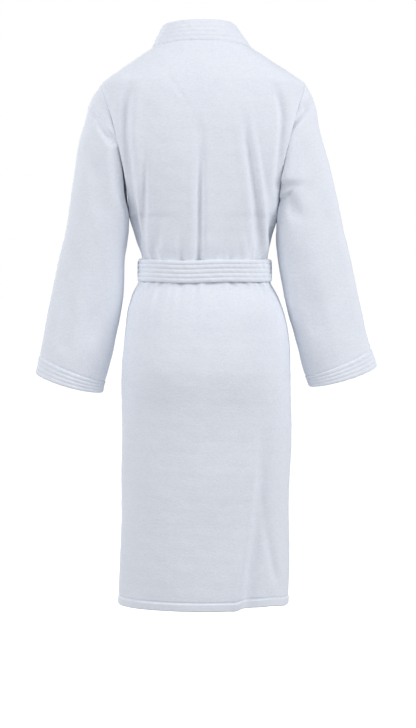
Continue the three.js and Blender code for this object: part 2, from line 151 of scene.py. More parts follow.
def ripple(points: Grid, length: float, seed: int) -> Grid:
    """A soft unevenness, about 1 high, of crossing waves about length long."""
    dice = np.random.default_rng(seed)
    total = np.zeros(points.shape[:-1])
    for _ in range(14):
        way = dice.normal(size=3) * np.array([1.0, 1.0, 0.55])
        wave = 2 * math.pi / (length * dice.uniform(0.7, 1.9))
        total += np.sin(points @ (way / np.linalg.norm(way)) * wave + dice.uniform(0, 6.28))
    return total / 14**0.5


# ---------------------------------------------------------------- meshes
def new_piece(name: str, points: Grid, faces: list[tuple[int, ...]]) -> bpy.types.Object:
    """A smooth-shaded mesh piece in the shared frame, its points given in millimetres."""
    mesh = bpy.data.meshes.new(name)
    mesh.from_pydata((np.asarray(points) / METRE).tolist(), [], faces)
    mesh.validate()
    made = bmesh.new()
    made.from_mesh(mesh)
    bmesh.ops.recalc_face_normals(made, faces=made.faces)
    for face in made.faces:
        face.smooth = True
    made.to_mesh(mesh)
    made.free()
    piece = bpy.data.objects.new(name, mesh)
    bpy.context.scene.collection.objects.link(piece)
    return piece


def cloth(
    name: str, outer: Grid, thick: float, *, wrap: bool = False, flip: bool = False
) -> bpy.types.Object:
    """A closed layer of cloth with rounded edges.

    Args:
        name: the piece's name.
        outer: its outer face.
        thick: its thickness in millimetres.
        wrap: whether the last column meets the first.
        flip: whether columns x rows points inward.

    Returns:
        The piece. Material 0 is its outer face and edges, and material 1 its inner face.
    """
    rows, columns = outer.shape[:2]
    inner = outer - normals(outer, wrap, flip) * thick
    middle = (outer + inner) / 2
    if wrap:
        loops = [[(0, c) for c in range(columns)], [(rows - 1, c) for c in range(columns)]]
    else:
        top = [(0, c) for c in range(columns)]
        right = [(r, columns - 1) for r in range(1, rows)]
        bottom = [(rows - 1, c) for c in range(columns - 2, -1, -1)]
        left = [(r, 0) for r in range(rows - 2, 0, -1)]
        loops = [top + right + bottom + left]
    points = [outer.reshape(-1, 3), inner.reshape(-1, 3)]
    half = rows * columns

    def at(r: int, c: int) -> int:
        """The index of an outer point."""
        return r * columns + c % columns

    faces: list[tuple[int, ...]] = []
    for r in range(rows - 1):
        for c in range(columns if wrap else columns - 1):
            quad = (at(r, c), at(r, c + 1), at(r + 1, c + 1), at(r + 1, c))
            faces.append(quad)
            faces.append(tuple(half + k for k in reversed(quad)))
    grown = 2 * half
    for loop in loops:
        rim = []
        for r, c in loop:
            out = np.zeros(3)
            if r in (0, rows - 1):
                out += unit(middle[r, c] - middle[1 if r == 0 else rows - 2, c])
            if not wrap and c in (0, columns - 1):
                out += unit(middle[r, c] - middle[r, 1 if c == 0 else columns - 2])
            rim.append(middle[r, c] + unit(out) * thick * 0.42)
        points.append(np.array(rim))
        count = len(loop)
        for k in range(count):
            a, b = at(*loop[k]), at(*loop[(k + 1) % count])
            e, f = grown + k, grown + (k + 1) % count
            faces += [(a, b, f, e), (e, f, half + b, half + a)]
        grown += count
    piece = new_piece(name, np.concatenate(points), faces)
    inside = np.zeros(len(piece.data.polygons), np.int32)
    inside[: 2 * (rows - 1) * (columns if wrap else columns - 1)][1::2] = 1
    piece["inner_faces"] = int(inside.sum())
    piece.data.materials.append(None)
    piece.data.materials.append(None)
    piece.data.polygons.foreach_set("material_index", inside)
    return piece


def strap(name: str, route: Grid, side: Grid, width: float, thick: float) -> bpy.types.Object:
    """A flat tape along a route.

    Args:
        name: the piece's name.
        route: the middle of the tape's outer face, point by point.
        side: the direction across the tape, one for all points or one for each.
        width: its width in millimetres.
        thick: its thickness in millimetres.

    Returns:
        The piece.
    """
    across = np.broadcast_to(unit(np.asarray(side, float)), route.shape)
    lines = np.linspace(-0.5, 0.5, 7)
    outer = route[:, None, :] + across[:, None, :] * (lines * width)[None, :, None]
    return cloth(name, outer, thick)


def stitches(name: str, route: Grid, out: Grid, *, pitch: float = 4.0) -> bpy.types.Object:
    """A line of lockstitch: one small sunk lens of thread for each stitch.

    Args:
        name: the piece's name.
        route: the seam line on the cloth.
        out: the cloth's outward direction, one for each point of the route.
        pitch: the length of a stitch in millimetres.

    Returns:
        The piece.
    """
    length = np.r_[0, np.cumsum(np.linalg.norm(np.diff(route, axis=0), axis=1))]
    count = max(int(length[-1] / pitch), 1)
    at = (np.arange(count) + 0.5) * length[-1] / count
    middle = np.stack([np.interp(at, length, route[:, k]) for k in range(3)], axis=-1)
    way = unit(np.stack([np.gradient(np.interp(at, length, route[:, k])) for k in range(3)], axis=-1))
    up = unit(np.stack([np.interp(at, length, out[:, k]) for k in range(3)], axis=-1))
    side = np.cross(way, up)
    ring = 6
    points, faces = [], []
    for k in range(count):
        base = len(points)
        for along, girth in ((-0.36, 0.35), (-0.2, 0.9), (0.0, 1.1), (0.2, 0.9), (0.36, 0.35)):
            for step in range(ring):
                turn = 2 * math.pi * step / ring
                round_ = side[k] * math.cos(turn) * 0.42 + up[k] * math.sin(turn) * 0.34
                points.append(middle[k] + way[k] * along * pitch + round_ * girth)
        for band in range(4):
            for step in range(ring):
                a, b = base + band * ring + step, base + band * ring + (step + 1) % ring
                faces.append((a, b, b + ring, a + ring))
        faces.append(tuple(base + step for step in reversed(range(ring))))
        faces.append(tuple(base + 4 * ring + step for step in range(ring)))
    piece = new_piece(name, np.array(points), faces)
    piece.data.materials.append(None)
    return piece


# ---------------------------------------------------------------- finishes
def linear(colour: str) -> tuple[float, float, float, float]:
    """An sRGB hex colour as linear RGBA."""
    parts = [int(colour[k : k + 2], 16) / 255 for k in (1, 3, 5)]
    return (*[p / 12.92 if p <= 0.04045 else ((p + 0.055) / 1.055) ** 2.4 for p in parts], 1.0)


def add_node(
    material: bpy.types.Material,
    kind: str,
    settings: dict[str, object] | None = None,
    inputs: dict[str | int, object] | None = None,
) -> bpy.types.Node:
    """Adds one shader node.

    Args:
        material: the material that it goes into.
        kind: the node's Blender type.
        settings: attributes of the node.
        inputs: what goes into its sockets: a value, or another node's output.

    Returns:
        The node.
    """
    made = material.node_tree.nodes.new(kind)
    for key, value in (settings or {}).items():
        setattr(made, key, value)
    for key, value in (inputs or {}).items():
        if isinstance(value, bpy.types.NodeSocket):
            material.node_tree.links.new(value, made.inputs[key])
        else:
            made.inputs[key].default_value = value
    return made


@dataclass(frozen=True)
class Cloth:
    """A cotton cloth whose face is a field of small tufts or threads.

    The pattern sizes are in millimetres, and 1000 / size is the noise scale in the shared frame.
    """

    name: str
    light: str  # the top of the pile
    shade: str  # between the tufts
    tuft_mm: float  # from one tuft to the next
    slub_mm: float  # how far a thicker thread runs before it thins again
    tuft_lift_mm: float
    slub_lift_mm: float
    roughness: float
    sheen: float
    ior: float = 1.53  # cotton fibre

    def build(self) -> bpy.types.Material:
        """Makes the material.

        Returns:
            A principled shader whose colour and bump follow tufts, threads and worn patches.
        """
        made = bpy.data.materials.new(self.name)
        made.use_nodes = True
        made.node_tree.nodes.clear()
        place = add_node(made, "ShaderNodeTexCoord").outputs["Object"]
        # threads run level, so the thick and thin places are long across and short down
        stretched = add_node(
            made,
            "ShaderNodeMapping",
            {},
            {"Vector": place, "Scale": (0.6, 0.6, 1.25)},
        ).outputs["Vector"]
        tufts = add_node(
            made,
            "ShaderNodeTexNoise",
            {},
            {"Vector": place, "Scale": METRE / self.tuft_mm, "Detail": 2.0, "Roughness": 0.6},
        ).outputs["Fac"]
        slubs = add_node(
            made,
            "ShaderNodeTexNoise",
            {},
            {"Vector": stretched, "Scale": METRE / self.slub_mm, "Detail": 3.0, "Roughness": 0.55},
        ).outputs["Fac"]
        patches = add_node(
            made,
            "ShaderNodeTexNoise",
            {},
            {"Vector": place, "Scale": METRE / (self.slub_mm * 9), "Detail": 2.0},
        ).outputs["Fac"]
        grain = add_node(
            made, "ShaderNodeMath", {"operation": "MULTIPLY_ADD"}, {0: slubs, 1: 0.4, 2: 0.0}
        ).outputs[0]
        pile = add_node(
            made, "ShaderNodeMath", {"operation": "MULTIPLY_ADD"}, {0: tufts, 1: 0.5, 2: grain}
        ).outputs[0]
        worn = add_node(
            made, "ShaderNodeMath", {"operation": "MULTIPLY_ADD"}, {0: patches, 1: 0.1, 2: pile}
        ).outputs[0]
        spread = add_node(
            made,
            "ShaderNodeMapRange",
            {},
            {"Value": worn, "From Min": 0.36, "From Max": 0.64},
        ).outputs[0]
        colour = add_node(
            made,
            "ShaderNodeMix",
            {"data_type": "RGBA"},
            {0: spread, 6: linear(self.shade), 7: linear(self.light)},
        ).outputs[2]
        rough = add_node(
            made,
            "ShaderNodeMapRange",
            {},
            {"Value": tufts, "To Min": self.roughness - 0.06, "To Max": self.roughness},
        ).outputs[0]
        coarse = add_node(
            made,
            "ShaderNodeBump",
            {},
            {"Height": slubs, "Distance": self.slub_lift_mm * BUMP_UNIT, "Strength": 1.0},
        ).outputs["Normal"]
        fine = add_node(
            made,
            "ShaderNodeBump",
            {},
            {
                "Height": tufts,
                "Normal": coarse,
                "Distance": self.tuft_lift_mm * BUMP_UNIT,
                "Strength": 1.0,
            },
        ).outputs["Normal"]
        shader = add_node(
            made,
            "ShaderNodeBsdfPrincipled",
            {},
            {
                "Base Color": colour,
                "Roughness": rough,
                "Normal": fine,
                "IOR": self.ior,
                "Metallic": 0.0,
                "Specular IOR Level": 0.2,
                "Sheen Weight": self.sheen,
                "Sheen Roughness": 0.5,
                "Sheen Tint": linear(self.light),
            },
        )
        add_node(made, "ShaderNodeOutputMaterial", {}, {"Surface": shader.outputs[0]})
        return made


# Velour is terry with its loops sheared off: a short, even nap that looks matt and a little
# luminous at grazing angles. The nap is finer than shows at this size, so it is drawn at 2 mm.
VELOUR = Cloth("cotton_velour_sheared", "#eef1f7", "#e4e8f0", 2.2, 4.5, 0.45, 0.4, 0.96, 0.12)
# The quilted bands are the same velour, stretched over wadding, so their nap lies smoother.
QUILTED = Cloth("cotton_velour_quilted", "#eef1f7", "#e5e9f1", 2.2, 4.5, 0.4, 0.3, 0.94, 0.12)
# The inside keeps its terry loops, 2 to 3 mm long, which look like coarse bright grains.
TERRY = Cloth("cotton_terry_looped", "#e8ecf2", "#c9d0da", 2.8, 5.0, 1.6, 0.8, 0.98, 0.15)
# Herringbone tape, woven flat and firm; its ribs are under a millimetre, drawn at 1.5 mm.
TAPE = Cloth("cotton_tape_woven", "#f1f3f6", "#dde2e9", 1.5, 3.0, 0.25, 0.2, 0.8, 0.1)
# Label satin floats its threads over each other, so it shines a little more than the cotton.
SATIN = Cloth("label_satin_woven", "#f6f7f8", "#e6e9ee", 1.2, 4.0, 0.08, 0.06, 0.45, 0.05)
# Mercerised sewing thread, twisted and slightly glossy.
THREAD = Cloth("cotton_sewing_thread", "#f3f5f8", "#dfe4ea", 1.2, 2.0, 0.12, 0.05, 0.6, 0.1)


class Wardrobe:
    """The built materials, made once each and handed to pieces."""

    def __init__(self) -> None:
        """Builds every finish."""
        self.made = {
            cloth_.name: cloth_.build() for cloth_ in (VELOUR, QUILTED, TERRY, TAPE, SATIN, THREAD)
        }

    def dress(self, piece: bpy.types.Object, *finishes: Cloth) -> bpy.types.Object:
        """Fills the piece's material slots in order, the last finish in any that are left."""
        slots = piece.data.materials
        for k in range(max(len(slots), 1)):
            finish = self.made[finishes[min(k, len(finishes) - 1)].name]
            if k < len(slots):
                slots[k] = finish
            else:
                slots.append(finish)
        return piece


# ---------------------------------------------------------------- the worn shape
class Side(Enum):
    """The wearer's sides; the value is the sign of X there."""

    LEFT = 1
    RIGHT = -1

    @property
    def word(self) -> str:
        """The side as it is written in names."""
        return self.name.lower()


class FoldShape(Enum):
    """How a fold's height runs across it."""

    VALLEY = "valley"
    RIDGE = "ridge"
    LEDGE = "ledge"


@dataclass(frozen=True)
class Fold:
    """One soft fold of hanging cloth, along a path of (x, drop) points."""

    path: tuple[tuple[float, float], ...]
    depth: float
    width: float
    shape: FoldShape = FoldShape.VALLEY
    grow: float = 0.35
    die: float = 0.12

    def height(self, x: Grid, drop: Grid) -> Grid:
        """How far the cloth moves out at each place."""
        route = route_through(self.path, 28)
        best = np.full(x.shape, 1e9)
        across, share = np.zeros(x.shape), np.zeros(x.shape)
        for k in range(len(route) - 1):
            a, step = route[k], route[k + 1] - route[k]
            dx, dz = x - a[0], drop - a[1]
            t = np.clip((dx * step[0] + dz * step[1]) / (step @ step), 0, 1)
            ox, oz = dx - t * step[0], dz - t * step[1]
            gap = np.hypot(ox, oz)
            near = gap < best
            best = np.where(near, gap, best)
            sign = np.sign(step[0] * oz - step[1] * ox)
            across = np.where(near, gap * sign, across)
            share = np.where(near, (k + t) / (len(route) - 1), share)
        d = across / self.width
        if self.shape is FoldShape.LEDGE:
            profile = np.tanh(d) * np.exp(-((d / 4) ** 2))
        else:
            profile = 0.22 * np.exp(-(((np.abs(d) - 2.1) / 0.9) ** 2)) - np.exp(-(np.abs(d) ** 2.6))
            profile = -profile if self.shape is FoldShape.RIDGE else profile
        life = smooth(share, 0, max(self.grow, 0.01)) * (1 - smooth(share, 1 - self.die, 1.001))
        return self.depth * profile * np.where(share > 0, life, 0)


@dataclass(frozen=True)
class Swell:
    """A soft rise where the body fills the cloth."""

    x: float
    drop: float
    wide: float
    tall: float
    height: float

    def at(self, x: Grid, drop: Grid) -> Grid:
        """Its height at each place."""
        across, down = (x - self.x) / self.wide, (drop - self.drop) / self.tall
        return self.height * np.exp(-(across**2) - down**2)


@dataclass(frozen=True)
class Ring:
    """The torso at one drop: half widths at both sides, depths behind and in front."""

    drop: float
    left: float
    right: float
    back: float
    front: float


@dataclass(frozen=True)
class Form:
    """The worn robe's outer surface, read by a turn round the body and a drop below the neck.

    A turn is 0 at the middle of the back, 1 at the wearer's left side, 2 at the middle of the
    front and more beyond it; minus is the wearer's right.
    """

    neck_half: float = 101
    shoulder_half: float = 205
    armpit_half: float = 150
    shoulder: float = 68
    armpit: float = 328
    waist: float = 440
    hem: float = 1118
    belt: float = 46
    armhole_depth: float = 68
    nape_rise: float = 18
    side_seam: float = 0.28
    band: float = 44
    wrap: float = 40
    layer: float = 8
    rings: tuple[Ring, ...] = (
        Ring(0, 101, 101, 62, 46),
        Ring(68, 205, 205, 92, 80),
        Ring(198, 150, 150, 106, 104),
        Ring(328, 150, 150, 98, 107),
        Ring(380, 134, 133, 91, 99),
        Ring(404, 124, 127, 87, 94),
        Ring(440, 122, 127, 84, 92),
        Ring(466, 129, 134, 87, 94),
        Ring(500, 146, 153, 103, 100),
        Ring(564, 158, 170, 119, 106),
        Ring(630, 163, 175, 125, 108),
        Ring(690, 164, 176, 121, 108),
        Ring(760, 164, 176, 116, 108),
        Ring(859, 164, 174, 113, 107),
        Ring(1000, 168, 173, 110, 105),
        Ring(1130, 172, 172, 108, 104),
    )
    back_folds: tuple[Fold, ...] = (
        Fold(((14, 120), (6, 190), (7, 273), (7, 425)), 8.0, 8, grow=0.6, die=0.0),
        Fold(((-72, 95), (-84, 180), (-98, 273), (-108, 367), (-114, 425)), 4.6, 8, die=0.0),
        Fold(
            ((-88, 100), (-98, 180), (-112, 273), (-122, 367), (-127, 425)),
            3.0,
            6,
            FoldShape.RIDGE,
            die=0.0,
        ),
        Fold(((112, 175), (116, 273), (118, 367), (114, 425)), 3.6, 5.5, grow=0.5, die=0.0),
        Fold(((122, 200), (127, 300), (126, 400)), 2.2, 5, FoldShape.RIDGE),
        Fold(((137, 60), (148, 100), (153, 167), (149, 233), (140, 327), (124, 415)), 8.0, 9, grow=0.2),
        Fold(((66, 260), (86, 345), (98, 425)), 3.0, 8, grow=0.9, die=0.0),
        Fold(((-128, 250), (-137, 340), (-136, 420)), 4.0, 7, grow=0.6),
        Fold(((-46, 330), (-44, 380), (-40, 425)), 2.6, 9, grow=0.8, die=0.0),
        Fold(((44, 350), (42, 425)), 2.2, 8, grow=0.8, die=0.0),
        Fold(((-72, 340), (-84, 425)), 2.2, 6, FoldShape.RIDGE, grow=0.8, die=0.0),
        Fold(((-137, 70), (-152, 110), (-153, 200), (-147, 290)), 6.0, 8, grow=0.2),
        Fold(((114, 10), (60, 80), (14, 146)), 0.7, 4, grow=0.2, die=0.3),
        Fold(((-100, 4), (-60, 60), (-20, 120)), 0.7, 4, grow=0.2, die=0.3),
        Fold(
            ((-103, 700), (-98, 800), (-90, 920), (-72, 1066), (-69, 1130)),
            4.0,
            11,
            FoldShape.RIDGE,
            0.35,
            0.0,
        ),
        Fold(((-122, 720), (-119, 800), (-111, 920), (-95, 1066), (-93, 1130)), 4.0, 15, grow=0.35, die=0.0),
        Fold(((-116, 850), (-128, 960), (-149, 1075)), 3.4, 7, grow=0.7, die=0.2),
        Fold(((132, 800), (138, 950), (140, 1100)), 1.8, 18, grow=0.4, die=0.1),
    )
    front_folds: tuple[Fold, ...] = (
        Fold(((104, 180), (106, 270), (100, 350), (92, 425)), 3.5, 14, grow=0.6),
        Fold(((-104, 180), (-106, 270), (-102, 350), (-94, 425)), 3.5, 14, grow=0.6),
        Fold(((122, 320), (118, 370), (110, 425)), 2.0, 10, grow=0.6),
        Fold(((-122, 320), (-118, 370), (-112, 425)), 2.0, 10, grow=0.6),
        Fold(((96, 330), (62, 400), (40, 425)), 2.4, 8),
        Fold(((-96, 300), (-88, 380), (-84, 425)), 2.6, 8),
        Fold(((-70, 455), (-40, 520), (10, 640)), 3.0, 10, grow=0.05, die=0.6),
        Fold(((-96, 455), (-104, 540), (-118, 660)), 3.0, 10, grow=0.05, die=0.6),
        Fold(((-60, 455), (10, 510), (70, 570)), 2.2, 9, grow=0.05, die=0.6),
        Fold(((60, 760), (64, 920), (70, 1110)), 2.6, 20, grow=0.4, die=0.0),
        Fold(((-70, 700), (-76, 900), (-80, 1110)), 2.8, 18, grow=0.4, die=0.0),
    )
    swells: tuple[Swell, ...] = (
        Swell(39, 19, 3.5, 15, 0.8),
        Swell(-21, 19, 3.5, 15, 0.8),
        Swell(8, 20, 21, 15, -0.7),
        Swell(86, 640, 64, 52, 3.5),
        Swell(-80, 640, 64, 52, 3.5),
        Swell(84, 712, 66, 20, -1.0),
        Swell(-80, 712, 66, 20, -1.0),
        Swell(88, 165, 55, 75, 2.5),
        Swell(-86, 165, 55, 75, 2.5),
    )

    def ring(self, key: str, drop: Grid) -> Grid:
        """One measure of the rings, read at any drop."""
        return flowing([r.drop for r in self.rings], [getattr(r, key) for r in self.rings], drop)

    def armhole(self, drop: Grid) -> Grid:
        """How far down the armhole a drop lies: 0 at the shoulder point, 1 at the armpit."""
        return np.clip((drop - self.shoulder) / (self.armpit - self.shoulder), 0, 1)

    def half(self, turn: Grid, drop: Grid) -> Grid:
        """Half the torso's width at the side that the turn is on."""
        leftward = smooth(turn, -0.25, 0.25)
        low = blend_between(self.ring("right", drop), self.ring("left", drop), leftward)
        top = blend_between(self.neck_half, self.shoulder_half, drop / self.shoulder)
        taper = (self.shoulder_half - self.armpit_half) * (1 - self.armhole(drop)) ** 1.8
        middle = self.armpit_half + taper
        return np.where(drop <= self.shoulder, top, np.where(drop >= self.armpit, low, middle))

    def edge(self, drop: Grid) -> Grid:
        """Half the gap between back and front at a panel's edge: the armhole."""
        wave = np.sin(math.pi * self.armhole(drop))
        return np.maximum(0.25, self.armhole_depth * np.maximum(wave, 0) ** 0.58) * (drop < self.armpit)

    def plain(self, turn: Grid, drop: Grid) -> Grid:
        """A point on the body before any fold."""
        turn, drop = np.broadcast_arrays(np.asarray(turn, float), np.asarray(drop, float))
        side = np.abs(turn)
        behind = side <= 1
        swing = np.where(behind, side, 2 - side)
        opening = 1 - 0.35 * np.sin(math.pi * self.armhole(drop))
        edge = self.edge(drop)
        depth = np.where(behind, self.ring("back", drop), self.ring("front", drop))
        crown = np.maximum(np.cos(swing * math.pi / 2), 0) ** np.where(behind, 0.85, 0.7)
        x = self.half(turn, drop) * np.sin(swing * opening * math.pi / 2) / np.sin(opening * math.pi / 2)
        y = edge + (depth - edge) * crown
        rise = np.where(behind, self.nape_rise * crown * (1 - smooth(drop, 0, self.armpit)), 0)
        shift = 3.5 * (1 - smooth(drop, 0, 70))
        return np.stack([np.sign(turn) * x + shift, np.where(behind, y, -y), rise - drop], axis=-1)

    def drape(self, turn: Grid, drop: Grid) -> Grid:
        """How far the cloth stands off the plain body: folds, gathers and soft unevenness."""
        base = self.plain(turn, drop)
        x = base[..., 0]
        behind = np.abs(turn) <= 1
        height = np.zeros(x.shape)
        for fold in self.back_folds:
            height += np.where(behind, fold.height(x, drop), 0)
        for fold in self.front_folds:
            height += np.where(behind, 0, fold.height(x, drop))
        for swell in self.swells:
            height += np.where(behind, swell.at(x, drop), 0)
        height *= 1 - 0.8 * smooth(-np.abs(np.abs(turn) - 1.05), -0.22, -0.04)
        along = np.sign(turn) * np.abs(turn) * 220  # millimetres round the waist
        top, bottom = self.waist - self.belt / 2, self.waist + self.belt / 2
        gather = (
            np.sin(along / 4.3 + 0.6)
            + np.sin(along / 6.1 + 2.1)
            + 0.8 * np.sin(along / 9.7)
            + 0.5 * np.sin(along / 2.9 + along**2 / 9000)
        )
        below = np.exp(-np.clip(drop - bottom, 0, None) / 34) * (drop > self.waist)
        above = np.exp(-np.clip(top - drop, 0, None) / 26) * (drop <= self.waist)
        height += gather * (1.0 * below + 0.9 * above)
        # the blouse of cloth that the belt pushes up
        height += 1.6 * np.exp(-(((drop - top + 24) / 20) ** 2))
        height += 1.5 * np.exp(-(((drop - bottom - 16) / 14) ** 2))
        slow = np.sin(along / 31 + 1.1 + drop / 400) + np.sin(along / 47 + 4.0 - drop / 700)
        height += 1.0 * slow * smooth(drop, 740, 1100) * (1 - 0.6 * behind)
        calm = 1 - smooth(-drop, -60, 0) * 0.7
        height += 0.32 * ripple(base, 34, 5) * calm + 0.9 * ripple(base, 120, 9) * calm
        return height

    def hem_drop(self, turn: Grid) -> Grid:
        """The hem's drop, which hangs unevenly round the body."""
        x = np.sin(np.clip(turn, -1, 1) * math.pi / 2)
        behind = np.abs(turn) <= 1
        step = 5.0 * smooth(-x, 0.34, 0.46) * (1 - smooth(-x, 0.75, 1.0))
        return self.hem - 10.5 + np.where(behind, 3.0 * (1 - x**2) - step, 0.0)

    def skin(self, turn: Grid, drop: Grid, flip: bool = False) -> Grid:
        """The draped outer surface of a whole grid of places."""
        base = self.plain(turn, drop)
        out = normals(base, False, flip)
        out[..., 2] *= 0.3
        return base + unit(out) * self.drape(turn, drop)[..., None]

    def side_turn(self, drop: Grid) -> Grid:
        """Where the back ends and the fronts begin."""
        return 1 + self.side_seam * smooth(drop, self.armpit, self.waist)

    def front_turn(self, x: Grid, drop: Grid, side: Side) -> Grid:
        """The turn at which the front has the given x, measured towards the wearer's side."""
        half = self.half(np.full(np.shape(drop), 2.0 * side.value), drop)
        return 2 - np.arcsin(np.clip(x / half, -1, 0.999999)) * 2 / math.pi

    def band_seam(self, drop: Grid) -> Grid:
        """The x of the line where a front meets its quilted band."""
        share = np.clip(drop / self.waist, 0, 1)
        return blend_between(self.neck_half + 0.25, self.band - self.wrap, share)

    def layer_lift(self, side: Side, turn: Grid, drop: Grid) -> Grid:
        """The outer front lies over the inner one, from nothing at the side seam and the neck."""
        seam = self.side_turn(drop)
        if side is Side.RIGHT:
            full = smooth((turn - seam) / 0.3, 0, 1) * (1 - smooth(turn, 1.64, 1.77))
            return 6.0 * full * np.exp(-(((drop - self.waist) / 50) ** 2))
        return self.layer * smooth((turn - seam) / 0.3, 0, 1) * smooth(drop, 0, 2 * self.shoulder)


def hemmed(grid: Grid, drop: Grid, bottom: Grid, *, flip: bool) -> Grid:
    """Turns up the cloth's lower edge: a fuller hem 16 mm deep under a sewn line."""
    up = bottom - drop
    full = 1.1 * (1 - smooth(up, 12, 15)) - 1.3 * np.exp(-(((up - 16) / 1.8) ** 2))
    pucker = 0.35 * np.sin(np.cumsum(np.ones(grid.shape[1])) * 2.1) * np.exp(-(((up - 13) / 6) ** 2))
    return lifted(grid, full + pucker, flip=flip)


# ---------------------------------------------------------------- panels
@dataclass
class Panels:
    """The back and the two fronts, each one sheet of velour from shoulder to hem."""

    form: Form
    wardrobe: Wardrobe
    cloth_mm: float = 4.0
    back_columns: int = 190
    front_columns: int = 96
    rows: int = 256
    hem_rows: int = 27
    hem_mm: float = 16.0
    swing_top: float = -0.47
    swing_bottom: float = -0.80

    def build_back(self) -> None:
        """Makes the back panel and its hem stitching."""
        u = np.linspace(-1, 1, self.back_columns)[None, :]
        r = self.row_shares()
        bottom = self.form.hem_drop(u * 1.28)
        drop = r * bottom
        reach = self.form.side_turn(drop) + 0.004 * smooth(drop, self.form.armpit, self.form.waist)
        turn = u * np.where(drop <= self.form.armpit, 0.9999, reach)
        grid = self.form.skin(turn, drop)
        grid = hemmed(grid, drop, np.broadcast_to(bottom, drop.shape), flip=False)
        piece = cloth("back_panel_velour", grid, self.cloth_mm)
        self.finish(piece, "back_panel")
        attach(piece, "robe")
        log.info("back panel: %d points", len(piece.data.vertices))
        self.hem_stitches("hem_stitches_back", grid, False, None)

    def row_shares(self) -> Grid:
        """The rows of a panel from its top to its hem, closest together where the hem is turned."""
        above = 1 - 26 / self.form.hem
        rows = self.rows - self.hem_rows
        upper = np.linspace(0, above, rows, endpoint=False)
        return np.r_[upper, np.linspace(above, 1, self.hem_rows)][:, None]

    def hem_stitches(self, name: str, grid: Grid, flip: bool, body: str | None) -> None:
        """Sews the hem line of one panel."""
        row = grid.shape[0] - 1 - int(self.hem_mm)
        out = normals(grid, False, flip)[row]
        piece = stitches(name, grid[row] - out * 0.15, out)
        self.wardrobe.dress(piece, THREAD)
        if body is None:
            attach(piece, "robe")
        else:
            self.swing(piece, body)
        log.info("%s sewn", name)

    def finish(self, piece: bpy.types.Object, *nodes: str) -> None:
        """Dresses a panel and lets it stand for its frame nodes."""
        self.wardrobe.dress(piece, VELOUR, TERRY)
        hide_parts(*nodes)

    def swing(self, piece: bpy.types.Object, body: str) -> None:
        """Bakes the piece's placement into its mesh."""
        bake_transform(piece)

    def build_front(self, side: Side) -> None:
        """Makes one front from the shoulder seam to the hem."""
        form = self.form
        u = np.linspace(0, 1, self.front_columns)[None, :]
        r = self.row_shares()
        bottom = form.hem_drop(np.full((1, 1), 1.6 * side.value))
        drop = np.broadcast_to(0.3 + r * (bottom - 0.3), (self.rows, self.front_columns))
        start = np.where(drop < form.armpit, 1.0001, form.side_turn(drop) + 0.002)
        end = form.front_turn(form.band_seam(drop) + 0.25, drop, side)
        turn = blend_between(start, end, u)
        flip = side is Side.RIGHT
        grid = form.skin(side.value * turn, drop, flip)
        grid = lifted(grid, form.layer_lift(side, turn, drop), flip=flip)
        grid = hemmed(grid, drop, np.broadcast_to(bottom, drop.shape), flip=flip)
        word = side.word
        piece = cloth(f"front_{word}_velour", grid, self.cloth_mm, flip=flip)
        self.finish(piece, f"front_{word}", f"skirt_{word}")
        self.swing(piece, f"{word}_wrap")
        log.info("front %s: %d points", word, len(piece.data.vertices))
        self.hem_stitches(f"hem_stitches_{word}", grid, flip, f"{word}_wrap")


